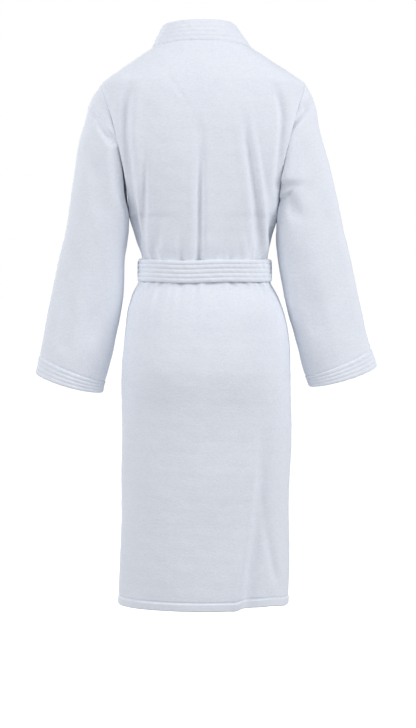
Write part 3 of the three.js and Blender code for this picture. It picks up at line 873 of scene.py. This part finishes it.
@dataclass
class Bands:
    """The quilted band: down both fronts, and round the back of the neck as a collar."""

    form: Form
    wardrobe: Wardrobe
    panels: Panels
    quilt_mm: float = 6.0
    channels: int = 5
    across: int = 46
    stand: tuple[float, float, float] = (-25, -6, 40)
    turn_down: float = 90
    collar_stand: float = 42
    collar_depth: float = 48
    collar_shift: float = 9  # the worn collar sits a little to the wearer's left

    def build_front(self, side: Side) -> None:
        """Makes the band of one front, from the neck to the hem."""
        form = self.form
        flip = side is Side.RIGHT
        u = np.linspace(0, 1, self.across)[None, :]
        bottom = float(form.hem_drop(np.full(1, 1.9 * side.value))[0])
        drop = np.r_[0.0, np.geomspace(0.02, 5, 16), np.linspace(8, bottom, 245)][:, None]
        drop = drop * np.ones((1, self.across))
        seam = form.band_seam(drop)
        x = blend_between(seam - 0.25, seam - form.band, u)
        flat_turn = form.front_turn(x, drop, side)
        foot_turn = form.front_turn(seam - 0.25, drop, side)
        flat = form.skin(side.value * flat_turn, drop, flip)
        foot = form.skin(side.value * foot_turn, drop, flip)
        end_top, end_foot = self.collar_line(np.array([float(side.value)]))
        standing = foot + (end_top - end_foot)[0] * u[..., None]
        share = smooth(drop, 0, self.turn_down)[..., None]
        grid = blend_between(standing, flat, share)
        grid = lifted(grid, form.layer_lift(side, foot_turn, drop), flip=flip)
        pad = channels(np.broadcast_to(u, drop.shape), self.channels, 1.3) - 0.4
        edge = np.minimum(1, (bottom - drop) / 8)
        grid = lifted(grid, pad * edge + 0.4 + 0.25 * ripple(grid, 14, 3), flip=flip)
        word = side.word
        piece = cloth(f"front_band_{word}_quilted", grid, self.quilt_mm, flip=flip)
        self.wardrobe.dress(piece, QUILTED, TERRY)
        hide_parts(f"lapel_{word}", f"front_band_{word}")
        self.panels.swing(piece, f"{word}_wrap")
        log.info("band %s: %d points", word, len(piece.data.vertices))

    def collar_line(self, share: Grid) -> tuple[Grid, Grid]:
        """The collar's top edge and its foot.

        Args:
            share: the place round the neck, from -1 at the right lapel to 1 at the left one.

        Returns:
            Two grids of points.
        """
        form = self.form
        foot = form.plain(share * 0.9995, np.zeros_like(share))
        arc = share * math.pi / 2
        crown = np.cos(arc)
        low, high = self.stand[2], form.nape_rise + self.collar_stand
        top = np.stack(
            [
                0.97 * (form.neck_half + self.stand[0]) * np.sin(arc) + self.collar_shift,
                blend_between(self.stand[1], self.collar_depth, crown),
                blend_between(low, high, crown**0.45) - 3.0 * share * crown,
            ],
            axis=-1,
        )
        return top, foot

    def build_collar(self) -> None:
        """Makes the collar that stands behind the neck."""
        share = np.linspace(-1, 1, 150)[None, :]
        down = np.linspace(0, 1, self.across)[:, None]
        top, foot = self.collar_line(share)
        crown = np.cos(share * math.pi / 2)
        foot = np.broadcast_to(foot, (self.across, *foot.shape[1:]))
        grid = blend_between(np.broadcast_to(top, foot.shape), foot, down[..., None])
        down_grid = np.broadcast_to(down, grid.shape[:2])
        belly = 2.0 * np.sin(math.pi * down_grid) * crown
        pad = channels(down_grid, self.channels, 0.85) - 0.2
        grid = lifted(grid, belly + pad + 0.3 * ripple(grid, 12, 4))
        piece = cloth("collar_back_quilted", grid, self.quilt_mm)
        self.wardrobe.dress(piece, QUILTED, TERRY)
        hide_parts("collar_back")
        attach(piece, "robe")
        log.info("collar: %d points", len(piece.data.vertices))


# ---------------------------------------------------------------- sleeves
@dataclass
class Sleeve:
    """One hanging sleeve and its quilted cuff."""

    form: Form
    wardrobe: Wardrobe
    side: Side
    outer: tuple[tuple[float, float], ...]
    inner: tuple[tuple[float, float], ...]
    folds: tuple[Fold, ...]
    around: int = 168
    along: int = 190
    cloth_mm: float = 4.0
    cuff_mm: float = 6.0
    cuff_deep: float = 36.0
    cuff_depth: float = 104.0
    length: float = 585.0
    fold_strength: float = 1.5
    cap_rise: float = 6.0
    hang_wave: float = 1.3
    cuff_sag: float = 7.0
    OUTWARD: ClassVar[tuple[float, float]] = (0.97, -0.24)

    def skin(self, u: Grid, v: Grid) -> Grid:
        """The sleeve's plain surface; u goes round it from its outer line by the back."""
        angle = 2 * math.pi * u
        lines = []
        for line in (self.outer, self.inner):
            points = np.asarray(line, float)
            length = np.r_[0, np.cumsum(np.linalg.norm(np.diff(points, axis=0), axis=1))]
            at = v * length[-1]
            lines.append([flowing(length, points[:, k], at) for k in range(2)])
        (ox, oz), (ix, iz) = lines
        share = (1 - np.cos(angle)) / 2
        depth = blend_between(self.form.armhole_depth, self.cuff_depth / 2, smooth(v, 0, 0.7))
        x, z = blend_between(ox, ix, share), blend_between(oz, iz, share)
        y = depth * np.sin(angle)
        z = z - self.cuff_sag * np.maximum(np.sin(angle), 0) * smooth(v, 0.75, 1.0)
        form = self.form
        drop = form.shoulder + share * (form.armpit - form.shoulder)
        hole = form.half(np.full(drop.shape, 1.0), drop)
        held = (1 - v) ** 6
        x = x + (hole - blend_between(form.shoulder_half, form.armpit_half, share)) * held
        lost = form.edge(drop) - form.armhole_depth * np.abs(np.sin(angle))
        y = y + np.sign(np.sin(angle)) * lost * held
        return np.stack([self.side.value * x, y, z], axis=-1)

    def draped(self, u: Grid, v: Grid) -> Grid:
        """The sleeve's surface with its folds."""
        u, v = np.broadcast_arrays(u, v)
        flip = self.side is Side.LEFT
        grid = self.skin(u, v)
        rear = np.sin(2 * math.pi * u)
        height = np.zeros(u.shape)
        for fold in self.folds:
            shown = self.fold_strength * fold.height(grid[..., 0], -grid[..., 2])
            height += shown * np.where(rear > 0, 1.0, 0.5)
        run = v * self.length
        cap = (1 - np.exp(-run / 14)) * np.exp(-run / 90) * np.abs(rear) ** 1.5
        height += self.cap_rise * cap
        hang = np.sin(2 * math.pi * u * 3 + 0.8 + v * 2.2) + 0.7 * np.sin(2 * math.pi * u * 5 + 2.0 - v * 3)
        height += self.hang_wave * hang * smooth(v, 0.12, 0.6) * np.abs(rear)
        height += (0.3 * ripple(grid, 30, 11) + 1.1 * ripple(grid, 95, 12)) * smooth(v, 0.0, 0.05)
        return lifted(grid, height, wrap=True, flip=flip)

    def build(self) -> None:
        """Makes the sleeve and its cuff."""
        u = np.arange(self.around)[None, :] / self.around
        start = 1 - self.cuff_deep / self.length
        flip = self.side is Side.LEFT
        word = self.side.word
        v = np.linspace(0, start + 0.004, self.along)[:, None]
        grid = self.draped(u, v)
        near_end = np.exp(-(((np.broadcast_to(v, grid.shape[:2]) - start) * self.length / 3) ** 2))
        grid = lifted(grid, -1.4 * near_end, wrap=True, flip=flip)
        piece = cloth(f"sleeve_{word}_velour", grid, self.cloth_mm, wrap=True, flip=flip)
        self.wardrobe.dress(piece, VELOUR, TERRY)
        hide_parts(f"sleeve_{word}")
        self.bend(piece)
        log.info("sleeve %s: %d points", word, len(piece.data.vertices))
        v = np.linspace(start, 1, 40)[:, None]
        grid = self.draped(u, v)
        share = np.broadcast_to((v - start) / (1 - start), grid.shape[:2])
        grid = lifted(grid, channels(share, 4, 1.1) + 0.2 + 0.25 * ripple(grid, 13, 8), wrap=True, flip=flip)
        piece = cloth(f"cuff_{word}_quilted", grid, self.cuff_mm, wrap=True, flip=flip)
        self.wardrobe.dress(piece, QUILTED, TERRY)
        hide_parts(f"cuff_{word}")
        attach(piece, f"{word}_arm")
        log.info("cuff %s: %d points", word, len(piece.data.vertices))

    def bend(self, piece: bpy.types.Object) -> None:
        """Bakes the sleeve's placement into its mesh."""
        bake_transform(piece)


# ---------------------------------------------------------------- belt
@dataclass
class Belt:
    """The quilted tie belt: its band, knot, hanging tails and the loops at the side seams."""

    form: Form
    wardrobe: Wardrobe
    quilt_mm: float = 6.0
    channels: int = 5
    clearance: float = 2.0
    knot_x: float = -89.0
    width: float = 44.0
    loop_tape: float = 7.0

    def outward(self, turn: Grid, drop: Grid) -> Grid:
        """The level direction that points out of the torso."""
        step = 1e-3
        along = self.form.plain(turn + step, drop) - self.form.plain(turn - step, drop)
        along[..., 2] = 0
        return np.cross(np.array([0.0, 0.0, 1.0]), unit(along))

    def face(self, turn: Grid, drop: Grid) -> Grid:
        """The belt's outer face, over both fronts all the way round."""
        over = self.form.layer * smooth(np.abs(turn), 1.05, 1.4)
        stand = over + self.clearance + self.quilt_mm
        return self.form.plain(turn, drop) + self.outward(turn, drop) * stand[..., None]

    def build_band(self) -> None:
        """Makes the band round the waist, pinched where it enters the knot."""
        around, across = 330, 46
        turn = (2 - 4 * np.arange(around) / around)[None, :] * np.ones((across, 1))
        v = np.linspace(-0.5, 0.5, across)[:, None] * np.ones((1, around))
        knot = self.knot_turn()
        gap = np.abs(np.mod(turn - knot + 2, 4) - 2) * 220
        pinch = 1 - 0.4 * np.exp(-((gap / 22) ** 2))
        wander = 0.8 * np.sin(turn * 5.1 + 0.4) + 0.5 * np.sin(turn * 9.3)
        drop = self.form.waist - 2.5 + v * self.width * pinch + wander
        base = self.face(turn, np.full_like(drop, self.form.waist))
        lean = self.face(turn, drop)
        grid = blend_between(base, lean, 0.5)
        grid[..., 2] = -drop
        height = channels(v + 0.5, self.channels, 1.4) - 0.4 + 0.3 * ripple(grid, 16, 21)
        height -= 1.5 * np.abs(2 * v) ** 6
        grid = lifted(grid, height, wrap=True, flip=True)
        piece = cloth("belt_band_quilted", grid, self.quilt_mm, wrap=True, flip=True)
        self.dress(piece, "belt_band")
        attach(piece, "robe")
        log.info("belt: %d points", len(piece.data.vertices))

    def dress(self, piece: bpy.types.Object, *nodes: str) -> None:
        """Dresses a piece of the belt and lets it stand for its frame nodes."""
        self.wardrobe.dress(piece, QUILTED, QUILTED)
        if nodes:
            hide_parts(*nodes)

    def knot_turn(self) -> float:
        """The turn at which the knot sits."""
        waist = np.full(1, self.form.waist)
        return -float(self.form.front_turn(np.full(1, -self.knot_x), waist, Side.RIGHT)[0])

    def build_knot(self) -> None:
        """Makes the knot: a wrap over the band with a fold on each side of it."""
        lo, hi = (np.array(corner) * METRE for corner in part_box("belt_knot"))
        centre = (lo + hi) / 2
        way = self.outward(np.full(1, self.knot_turn()), np.full(1, self.form.waist))[0]
        side = np.cross(way, np.array([0, 0, 1.0]))
        up = np.array([0, 0, 1.0])
        turns = np.linspace(0, 2 * math.pi, 72, endpoint=False)[None, :]
        across = np.linspace(-1, 1, 46)[:, None]
        girth = 1 - 0.16 * across**2 + 0.05 * np.sin(turns * 2 + across * 2)
        fat, tall = 12.0 * girth, 20.5 * girth
        slant = 0.28 * np.sin(turns)
        spot = (
            centre
            + side * ((across * 17 + slant * 9)[..., None])
            + way * (np.cos(turns) * fat)[..., None]
            + up * (np.sin(turns) * tall)[..., None]
        )
        pad = channels((across + 1) / 2 * np.ones_like(turns), self.channels, 2.0) - 0.8
        spot = lifted(spot, pad, wrap=True)
        wrap = cloth("belt_knot_wrap", spot, self.quilt_mm, wrap=True)
        if (np.array(wrap.data.vertices[0].co) * METRE - centre) @ (spot[0, 0] - centre) < 0:
            log.warning("the knot's wrap is inside out")
        self.dress(wrap, "belt_knot")
        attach(wrap, "robe")
        for end in (-1, 1):
            reach = np.linspace(0, 1, 40)[None, :]
            roll = np.linspace(0, 2 * math.pi, 48, endpoint=False)[:, None]
            swell = 1 + 0.28 * np.sin(math.pi * reach)
            thin = 8.0 * swell * (1 - 0.3 * reach) * (1 - 0.74 * smooth(reach, 0.55, 1))
            high = 15.0 * swell * (1 + 0.15 * reach)
            grid = (
                centre
                + side * ((end * (8 + 21 * reach))[..., None] * np.ones_like(roll)[..., None])
                + way * (np.cos(roll) * thin - 2 - 5 * reach**2)[..., None]
                + up * (np.sin(roll) * high + end * 2.5)[..., None]
            )
            ridges = 0.9 * np.abs(np.sin(roll * 4)) ** 0.6 * np.ones_like(reach)
            grid = np.swapaxes(lifted(grid, ridges, flip=False), 0, 1)
            title = f"belt_knot_fold_{'right' if end < 0 else 'left'}"
            piece = cloth(title, grid, 1.4, wrap=True, flip=end > 0)
            self.dress(piece)
            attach(piece, "robe")
        log.info("knot tied")

    def strip(self, name: str, route: Grid, widths: Grid, side: Grid, out: Grid) -> bpy.types.Object:
        """Makes a length of quilted belt along a route.

        Args:
            name: the piece's name.
            route: the middle of its outer face.
            widths: its width at each point.
            side: the direction across it.
            out: the direction that its outer face looks.

        Returns:
            The piece.
        """
        across = np.linspace(-0.5, 0.5, 46)
        grid = route[:, None, :] + side * (across[None, :] * widths[:, None])[..., None]
        flip = float(np.mean(normals(grid, False, False) @ out)) < 0
        ends = np.linspace(0, 1, len(route))[:, None] * np.ones((1, 46))
        pad = (channels(across[None, :] + 0.5, self.channels, 2.2) - 0.7) * np.ones_like(ends)
        pad -= 1.6 * smooth(ends, 0.955, 0.962) * (1 - smooth(ends, 0.962, 0.972))
        rounding = 1.4 * np.abs(2 * across[None, :]) ** 6
        grid = lifted(grid, pad - rounding + 0.3 * ripple(grid, 15, 31), flip=flip)
        return cloth(name, grid, self.quilt_mm, flip=flip)

    def build_tails(self) -> None:
        """Makes the two tails, and the short lengths that join them to the knot."""
        side, out = np.array([1.0, 0, 0]), np.array([0, -1.0, 0])
        for word, twist in (("left", 1.0), ("right", -1.0)):
            lo, hi = (np.array(corner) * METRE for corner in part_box(f"belt_tail_{word}"))
            x, front = (lo[0] + hi[0]) / 2, lo[1]
            s = np.linspace(0, 1, 110)
            z = hi[2] + 3 + (lo[2] - hi[2] - 2) * s
            sway = twist * (2.5 * np.sin(s * 3.0) + 1.0 * np.sin(s * 7.0))
            wave = 2.2 * np.sin(s * 5.2 + twist) * smooth(s, 0.05, 0.4)
            route = np.stack([x + sway, front + wave, z], axis=-1)
            widths = 45.0 - 9 * (1 - smooth(s, 0.0, 0.16))
            tail = self.strip(f"belt_tail_{word}_quilted", route, widths, side, out)
            self.dress(tail, f"belt_tail_{word}")
            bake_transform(tail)
            knot = self.knot_x + twist * 9
            path = [
                (knot, front + 9, -446),
                (knot + twist * 3, front + 3, -456),
                (x * 0.6 + knot * 0.4, front - 1.5, -466),
                (x, front - 1.0, -482),
            ]
            root = self.strip(
                f"belt_tail_{word}_root",
                route_through(path, 26),
                np.linspace(30, 38, 26),
                side,
                out,
            )
            self.dress(root)
            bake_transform(root)
            log.info("tail %s hung", word)

    def build_loops(self) -> None:
        """Makes the loops that carry the belt at the side seams."""
        for side in Side:
            lo, hi = (np.array(corner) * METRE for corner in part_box(f"belt_loop_{side.word}"))
            turn = np.full(1, side.value * (float(self.form.side_turn(self.form.waist)) - 0.1))
            way = self.outward(turn, np.full(1, self.form.waist))[0]
            along = np.cross(way, np.array([0, 0, 1.0]))
            belt = self.face(turn, np.full(1, self.form.waist))[0]
            stops = [
                (hi[2], -3.5),
                (hi[2] - 8, -3.0),
                (-416, -0.5),
                (-419, 4.0),
                (-428, 5.2),
                (-440, 5.4),
                (-452, 5.2),
                (-461, 4.0),
                (-464, -0.5),
                (lo[2] + 8, 0.0),
                (lo[2], 1.0),
            ]
            route = []
            for z, stand in stops:
                body = self.form.plain(turn, np.full(1, -z))[0]
                held = body + way * (2.2 if z > -416 or z < -463 else 0) if stand <= 1 else belt
                point = held + way * (stand if stand > 1 else 0)
                route.append((point[0], point[1], z))
            tape = route_through(route, 70)
            piece = strap(f"belt_loop_{side.word}_velour", tape, along, self.loop_tape, 1.6)
            self.wardrobe.dress(piece, VELOUR)
            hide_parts(f"belt_loop_{side.word}")
            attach(piece, "robe")
            log.info("belt loop %s sewn", side.word)


# ---------------------------------------------------------------- pockets, loop and labels
@dataclass
class Trimmings:
    """Patch pockets, the hanger loop and the two blank labels."""

    form: Form
    wardrobe: Wardrobe
    panels: Panels
    pocket_top: float = 545
    pocket_height: float = 165
    pocket_turns: tuple[float, float] = (1.3, 1.74)
    pocket_cloth: float = 3.0
    gape: float = 12.0
    tape_mm: float = 8.0

    def build_pocket(self, side: Side) -> None:
        """Makes one patch pocket with a turned and stitched mouth."""
        form = self.form
        flip = side is Side.RIGHT
        rows, columns = 90, 84
        u = np.linspace(0, 1, columns)[None, :] * np.ones((rows, 1))
        r = np.linspace(0, 1, rows)[:, None] * np.ones((1, columns))
        corner = 9 * np.clip(np.abs(2 * u - 1) - 0.86, 0, 1) ** 2 / 0.0196
        drop = self.pocket_top + r * (self.pocket_height - corner)
        turn = blend_between(*self.pocket_turns, u)
        grid = form.skin(side.value * turn, drop, flip)
        grid = lifted(grid, form.layer_lift(side, turn, drop), flip=flip)
        hollow = self.gape * np.sin(math.pi * u) * np.cos(r * math.pi / 2)
        mouth = (drop - self.pocket_top) / 25
        hem = 1.0 * (1 - smooth(mouth, 0.85, 0.95)) - 1.1 * np.exp(-(((mouth - 1) * 25 / 1.7) ** 2))
        rim = np.minimum(np.minimum(u, 1 - u) * 130, (1 - r) * 165)
        edge = -1.3 * np.exp(-(((rim - 6) / 1.6) ** 2)) + 0.5 * np.exp(-((rim / 4) ** 2))
        stand = self.pocket_cloth + 0.4 + hollow + hem + edge
        grid = lifted(grid, stand, flip=flip)
        word = side.word
        piece = cloth(f"pocket_{word}_velour", grid, self.pocket_cloth, flip=flip)
        self.wardrobe.dress(piece, VELOUR, TERRY)
        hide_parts(f"pocket_{word}")
        self.panels.swing(piece, f"{word}_wrap")
        out = normals(grid, False, flip)
        mouth_row = int(round(25 / self.pocket_height * rows))
        inset = 4
        low = rows - 1 - 3
        lines = {
            "mouth": (grid[mouth_row], out[mouth_row]),
            "edge": (
                np.concatenate([grid[:low, inset], grid[low, inset:-inset], grid[:low, -1 - inset][::-1]]),
                np.concatenate([out[:low, inset], out[low, inset:-inset], out[:low, -1 - inset][::-1]]),
            ),
        }
        for part, (route, way) in lines.items():
            sewn = stitches(f"pocket_{word}_stitches_{part}", route - way * 0.1, way)
            self.wardrobe.dress(sewn, THREAD)
            self.panels.swing(sewn, f"{word}_wrap")
        log.info("pocket %s sewn", word)

    def build_hanger_loop(self) -> None:
        """Makes the tape loop inside the neck."""
        lo, hi = (np.array(corner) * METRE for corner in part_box("hanger_loop"))
        y = (lo[1] + hi[1]) / 2
        left, right, floor, top = lo[0] + 0.2, hi[0] - 0.2, lo[2] + 0.2, hi[2] - 0.5
        round_ = 6.0
        path = [(left, y, top), (left, y, (top + floor) / 2), (left, y, floor + round_)]
        path += [
            (left + round_ * 0.3, y, floor + round_ * 0.3),
            (left + round_, y, floor),
            (0, y, floor - 0.3),
        ]
        path += [(right - round_, y, floor), (right - round_ * 0.3, y, floor + round_ * 0.3)]
        path += [(right, y, floor + round_), (right, y, (top + floor) / 2), (right, y, top)]
        piece = strap("hanger_loop_tape", route_through(path, 90), np.array([0, 1.0, 0]), self.tape_mm, 1.4)
        self.wardrobe.dress(piece, TAPE)
        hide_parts("hanger_loop")
        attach(piece, "loop")
        log.info("hanger loop sewn")

    def build_label(self, node: str, name: str, size: tuple[float, float]) -> None:
        """Makes one blank woven label, slightly curved, with turned ends."""
        lo, hi = (np.array(corner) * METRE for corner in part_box(node))
        centre = (lo + hi) / 2
        out = np.array([0, 1.0, 0])
        if node == "care_label":
            turn = np.full(1, 0.93)
            level = np.full(1, 640.0)
            step = self.form.plain(turn + 0.01, level) - self.form.plain(turn - 0.01, level)
            out = np.cross(np.array([0, 0, 1.0]), unit(step * np.array([1, 1, 0])))[0]
        side = np.cross(out, np.array([0, 0, 1.0]))
        u = np.linspace(-0.5, 0.5, 30)[None, :, None]
        v = np.linspace(0.5, -0.5, 22)[:, None, None]
        bow = 0.9 * np.cos(u * math.pi) * np.cos(v * math.pi)
        grid = centre + side * u * size[0] + np.array([0, 0, 1.0]) * v * size[1] - out * bow
        turned = 0.35 * smooth(np.abs(u[..., 0]), 0.42, 0.45) * np.ones((22, 1))
        flip = float(np.mean(normals(grid, False, False) @ -out)) < 0
        grid = lifted(grid, turned, flip=flip)
        piece = cloth(name, grid, 0.7, flip=flip)
        self.wardrobe.dress(piece, SATIN)
        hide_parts(node)
        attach(piece, "robe")
        log.info("%s sewn", name)


# ---------------------------------------------------------------- studio
@dataclass
class Studio:
    """A plain pale floor, soft light from all round and the camera behind the robe."""

    floor_drop: float = 1.50
    camera_place: tuple[float, float, float] = (-0.009, 5.6, -0.30)
    camera_aim: tuple[float, float, float] = (-0.009, 0.0, -0.626)
    view_tall: float = 1.462
    sensor: float = 36.0

    def build(self) -> None:
        """Lays the floor and sets the lights, the world and the camera."""
        self.build_floor()
        self.build_backdrop()
        self.build_world()
        self.light("key_softbox", (-3.3, 2.0, 1.4), 1.8, 89, (0.0, 0.0, -0.4))
        self.light("fill_softbox", (3.3, 2.0, 1.4), 1.8, 70, (0.0, 0.0, -0.5))
        self.light("front_softbox", (1.8, -3.3, 1.7), 2.2, 58, (0.0, 0.0, -0.4))
        camera = bpy.data.objects.new("camera", bpy.data.cameras.new("camera"))
        bpy.context.scene.collection.objects.link(camera)
        place, aim = Vector(self.camera_place), Vector(self.camera_aim)
        camera.location = place
        camera.rotation_euler = (aim - place).to_track_quat("-Z", "Y").to_euler()
        camera.data.sensor_width = self.sensor
        camera.data.lens = self.sensor * (aim - place).length / self.view_tall
        camera.data.clip_end = 90
        bpy.context.scene.camera = camera
        view = bpy.context.scene.view_settings
        view.view_transform, view.look, view.exposure, view.gamma = "Standard", "None", 0.0, 1.0
        log.info("studio ready")

    def build_floor(self) -> None:
        """Lays a round pale floor."""
        turns = [2 * math.pi * k / 96 for k in range(96)]
        ring = [(29000 * math.cos(t), 29000 * math.sin(t), -self.floor_drop * METRE) for t in turns]
        wedges = [(k, (k + 1) % 96, 96) for k in range(96)]
        floor = new_piece("floor", np.array([*ring, (0, 0, -self.floor_drop * METRE)]), wedges)
        paint = bpy.data.materials.new("floor_matt_paint")  # chalky white studio paint
        paint.use_nodes = True
        paint.node_tree.nodes.clear()
        place = add_node(paint, "ShaderNodeTexCoord").outputs["Object"]
        mottle = add_node(paint, "ShaderNodeTexNoise", {}, {"Vector": place, "Scale": 2.0}).outputs["Fac"]
        colour = add_node(
            paint,
            "ShaderNodeMix",
            {"data_type": "RGBA"},
            {0: mottle, 6: linear("#f8f8f8"), 7: linear("#ffffff")},
        ).outputs[2]
        shader = add_node(
            paint,
            "ShaderNodeBsdfPrincipled",
            {},
            {
                "Base Color": colour,
                "Roughness": 0.9,
                "Specular IOR Level": 0.0,
                "Emission Color": linear("#ffffff"),
                "Emission Strength": 0.7,
            },
        )
        add_node(paint, "ShaderNodeOutputMaterial", {}, {"Surface": shader.outputs[0]})
        floor.data.materials.append(paint)
        floor.visible_diffuse = False

    def build_backdrop(self) -> None:
        """Closes the room with an even white dome that is seen but casts no light."""
        turns, tiers = 64, 24
        points = [
            (
                30000 * math.cos(2 * math.pi * a / turns) * math.cos(math.pi * (b / tiers - 0.5)),
                30000 * math.sin(2 * math.pi * a / turns) * math.cos(math.pi * (b / tiers - 0.5)),
                30000 * math.sin(math.pi * (b / tiers - 0.5)),
            )
            for b in range(1, tiers)
            for a in range(turns)
        ]
        faces = [
            (
                b * turns + a,
                b * turns + (a + 1) % turns,
                (b + 1) * turns + (a + 1) % turns,
                (b + 1) * turns + a,
            )
            for b in range(tiers - 2)
            for a in range(turns)
        ]
        dome = new_piece("backdrop", np.array(points), faces)
        paper = bpy.data.materials.new("backdrop_white_paper")  # evenly lit roll paper
        paper.use_nodes = True
        paper.node_tree.nodes.clear()
        glow = add_node(
            paper,
            "ShaderNodeEmission",
            {},
            {"Color": linear("#ffffff"), "Strength": 1.0},
        )
        add_node(paper, "ShaderNodeOutputMaterial", {}, {"Surface": glow.outputs[0]})
        dome.data.materials.append(paper)
        dome.visible_diffuse = dome.visible_glossy = dome.visible_shadow = False

    def build_world(self) -> None:
        """Surrounds the robe with an even, slightly cool white."""
        world = bpy.data.worlds.new("white_surround")
        bpy.context.scene.world = world
        world.use_nodes = True
        back = world.node_tree.nodes["Background"]
        back.inputs["Color"].default_value = linear("#f6f9ff")
        back.inputs["Strength"].default_value = 0.50

    def light(
        self, name: str, place: tuple[float, ...], size: float, power: float, aim: tuple[float, ...]
    ) -> None:
        """Hangs one square softbox."""
        lamp = bpy.data.lights.new(name, "AREA")
        lamp.size, lamp.energy = size, power
        made = bpy.data.objects.new(name, lamp)
        made.location = place
        made.rotation_euler = (Vector(aim) - Vector(place)).to_track_quat("-Z", "Y").to_euler()
        bpy.context.scene.collection.objects.link(made)


LEFT_SLEEVE_FOLDS = (
    Fold(((224, 110), (200, 147), (176, 172)), 1.6, 4, FoldShape.RIDGE, 0.1, 0.1),
    Fold(((214, 122), (196, 158), (172, 190)), 3.4, 7, grow=0.2, die=0.1),
    Fold(((168, 175), (160, 250), (154, 330)), 4.0, 12, grow=0.2, die=0.3),
    Fold(((236, 130), (243, 220), (250, 330), (262, 430)), 2.2, 18, FoldShape.RIDGE, 0.2, 0.4),
    Fold(((215, 200), (205, 280), (210, 360)), 2.2, 15, grow=0.3, die=0.4),
    Fold(((200, 420), (215, 500), (232, 600)), 1.8, 18, grow=0.4, die=0.3),
    Fold(((262, 470), (275, 540), (283, 610)), 1.6, 14, grow=0.4, die=0.2),
)
RIGHT_SLEEVE_FOLDS = (
    Fold(((-216, 97), (-192, 120), (-172, 142)), 1.6, 4, FoldShape.RIDGE, 0.1, 0.1),
    Fold(((-208, 108), (-188, 134), (-168, 158)), 3.4, 7, grow=0.2, die=0.1),
    Fold(((-156, 263), (-180, 263), (-222, 261)), 2.6, 6, FoldShape.LEDGE, 0.0, 0.8),
    Fold(((-160, 285), (-175, 310), (-190, 350)), 4.5, 15, grow=0.1, die=0.5),
    Fold(((-238, 140), (-252, 240), (-272, 340), (-292, 440)), 2.4, 18, FoldShape.RIDGE, 0.2, 0.4),
    Fold(((-212, 170), (-206, 240), (-214, 330)), 2.0, 15, grow=0.3, die=0.4),
    Fold(((-205, 430), (-222, 520), (-240, 600)), 1.8, 18, grow=0.4, die=0.3),
)
# Each sleeve's hanging outline, as x and z: the outer line from the shoulder, the inner from the armpit.
LEFT_OUTER = ((205, -68), (225, -100), (237, -140), (265, -300), (315, -532), (337, -644))
LEFT_INNER = ((150, -328), (149, -360), (157, -420), (161, -480), (181, -596), (201, -682))
RIGHT_OUTER = ((205, -68), (219, -100), (241, -200), (309, -480), (337, -596), (347, -630))
RIGHT_INNER = ((150, -328), (144, -380), (149, -420), (191, -596), (201, -640), (211, -670))


def main() -> None:
    """Builds the robe piece by piece, then the studio round it."""
    logging.basicConfig(level=logging.INFO, format="%(name)s: %(message)s")
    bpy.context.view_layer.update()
    form, wardrobe = Form(), Wardrobe()
    panels = Panels(form, wardrobe)
    panels.build_back()
    bands = Bands(form, wardrobe, panels)
    bands.build_collar()
    trimmings = Trimmings(form, wardrobe, panels)
    for side in Side:
        panels.build_front(side)
        bands.build_front(side)
        trimmings.build_pocket(side)
    Sleeve(form, wardrobe, Side.LEFT, LEFT_OUTER, LEFT_INNER, LEFT_SLEEVE_FOLDS).build()
    Sleeve(form, wardrobe, Side.RIGHT, RIGHT_OUTER, RIGHT_INNER, RIGHT_SLEEVE_FOLDS).build()
    belt = Belt(form, wardrobe)
    belt.build_band()
    belt.build_knot()
    belt.build_tails()
    belt.build_loops()
    trimmings.build_hanger_loop()
    trimmings.build_label("neck_label", "neck_label_blank", (48, 22))
    trimmings.build_label("care_label", "care_label_blank", (26, 52))
    Studio().build()


if __name__ == "__main__":
    main()
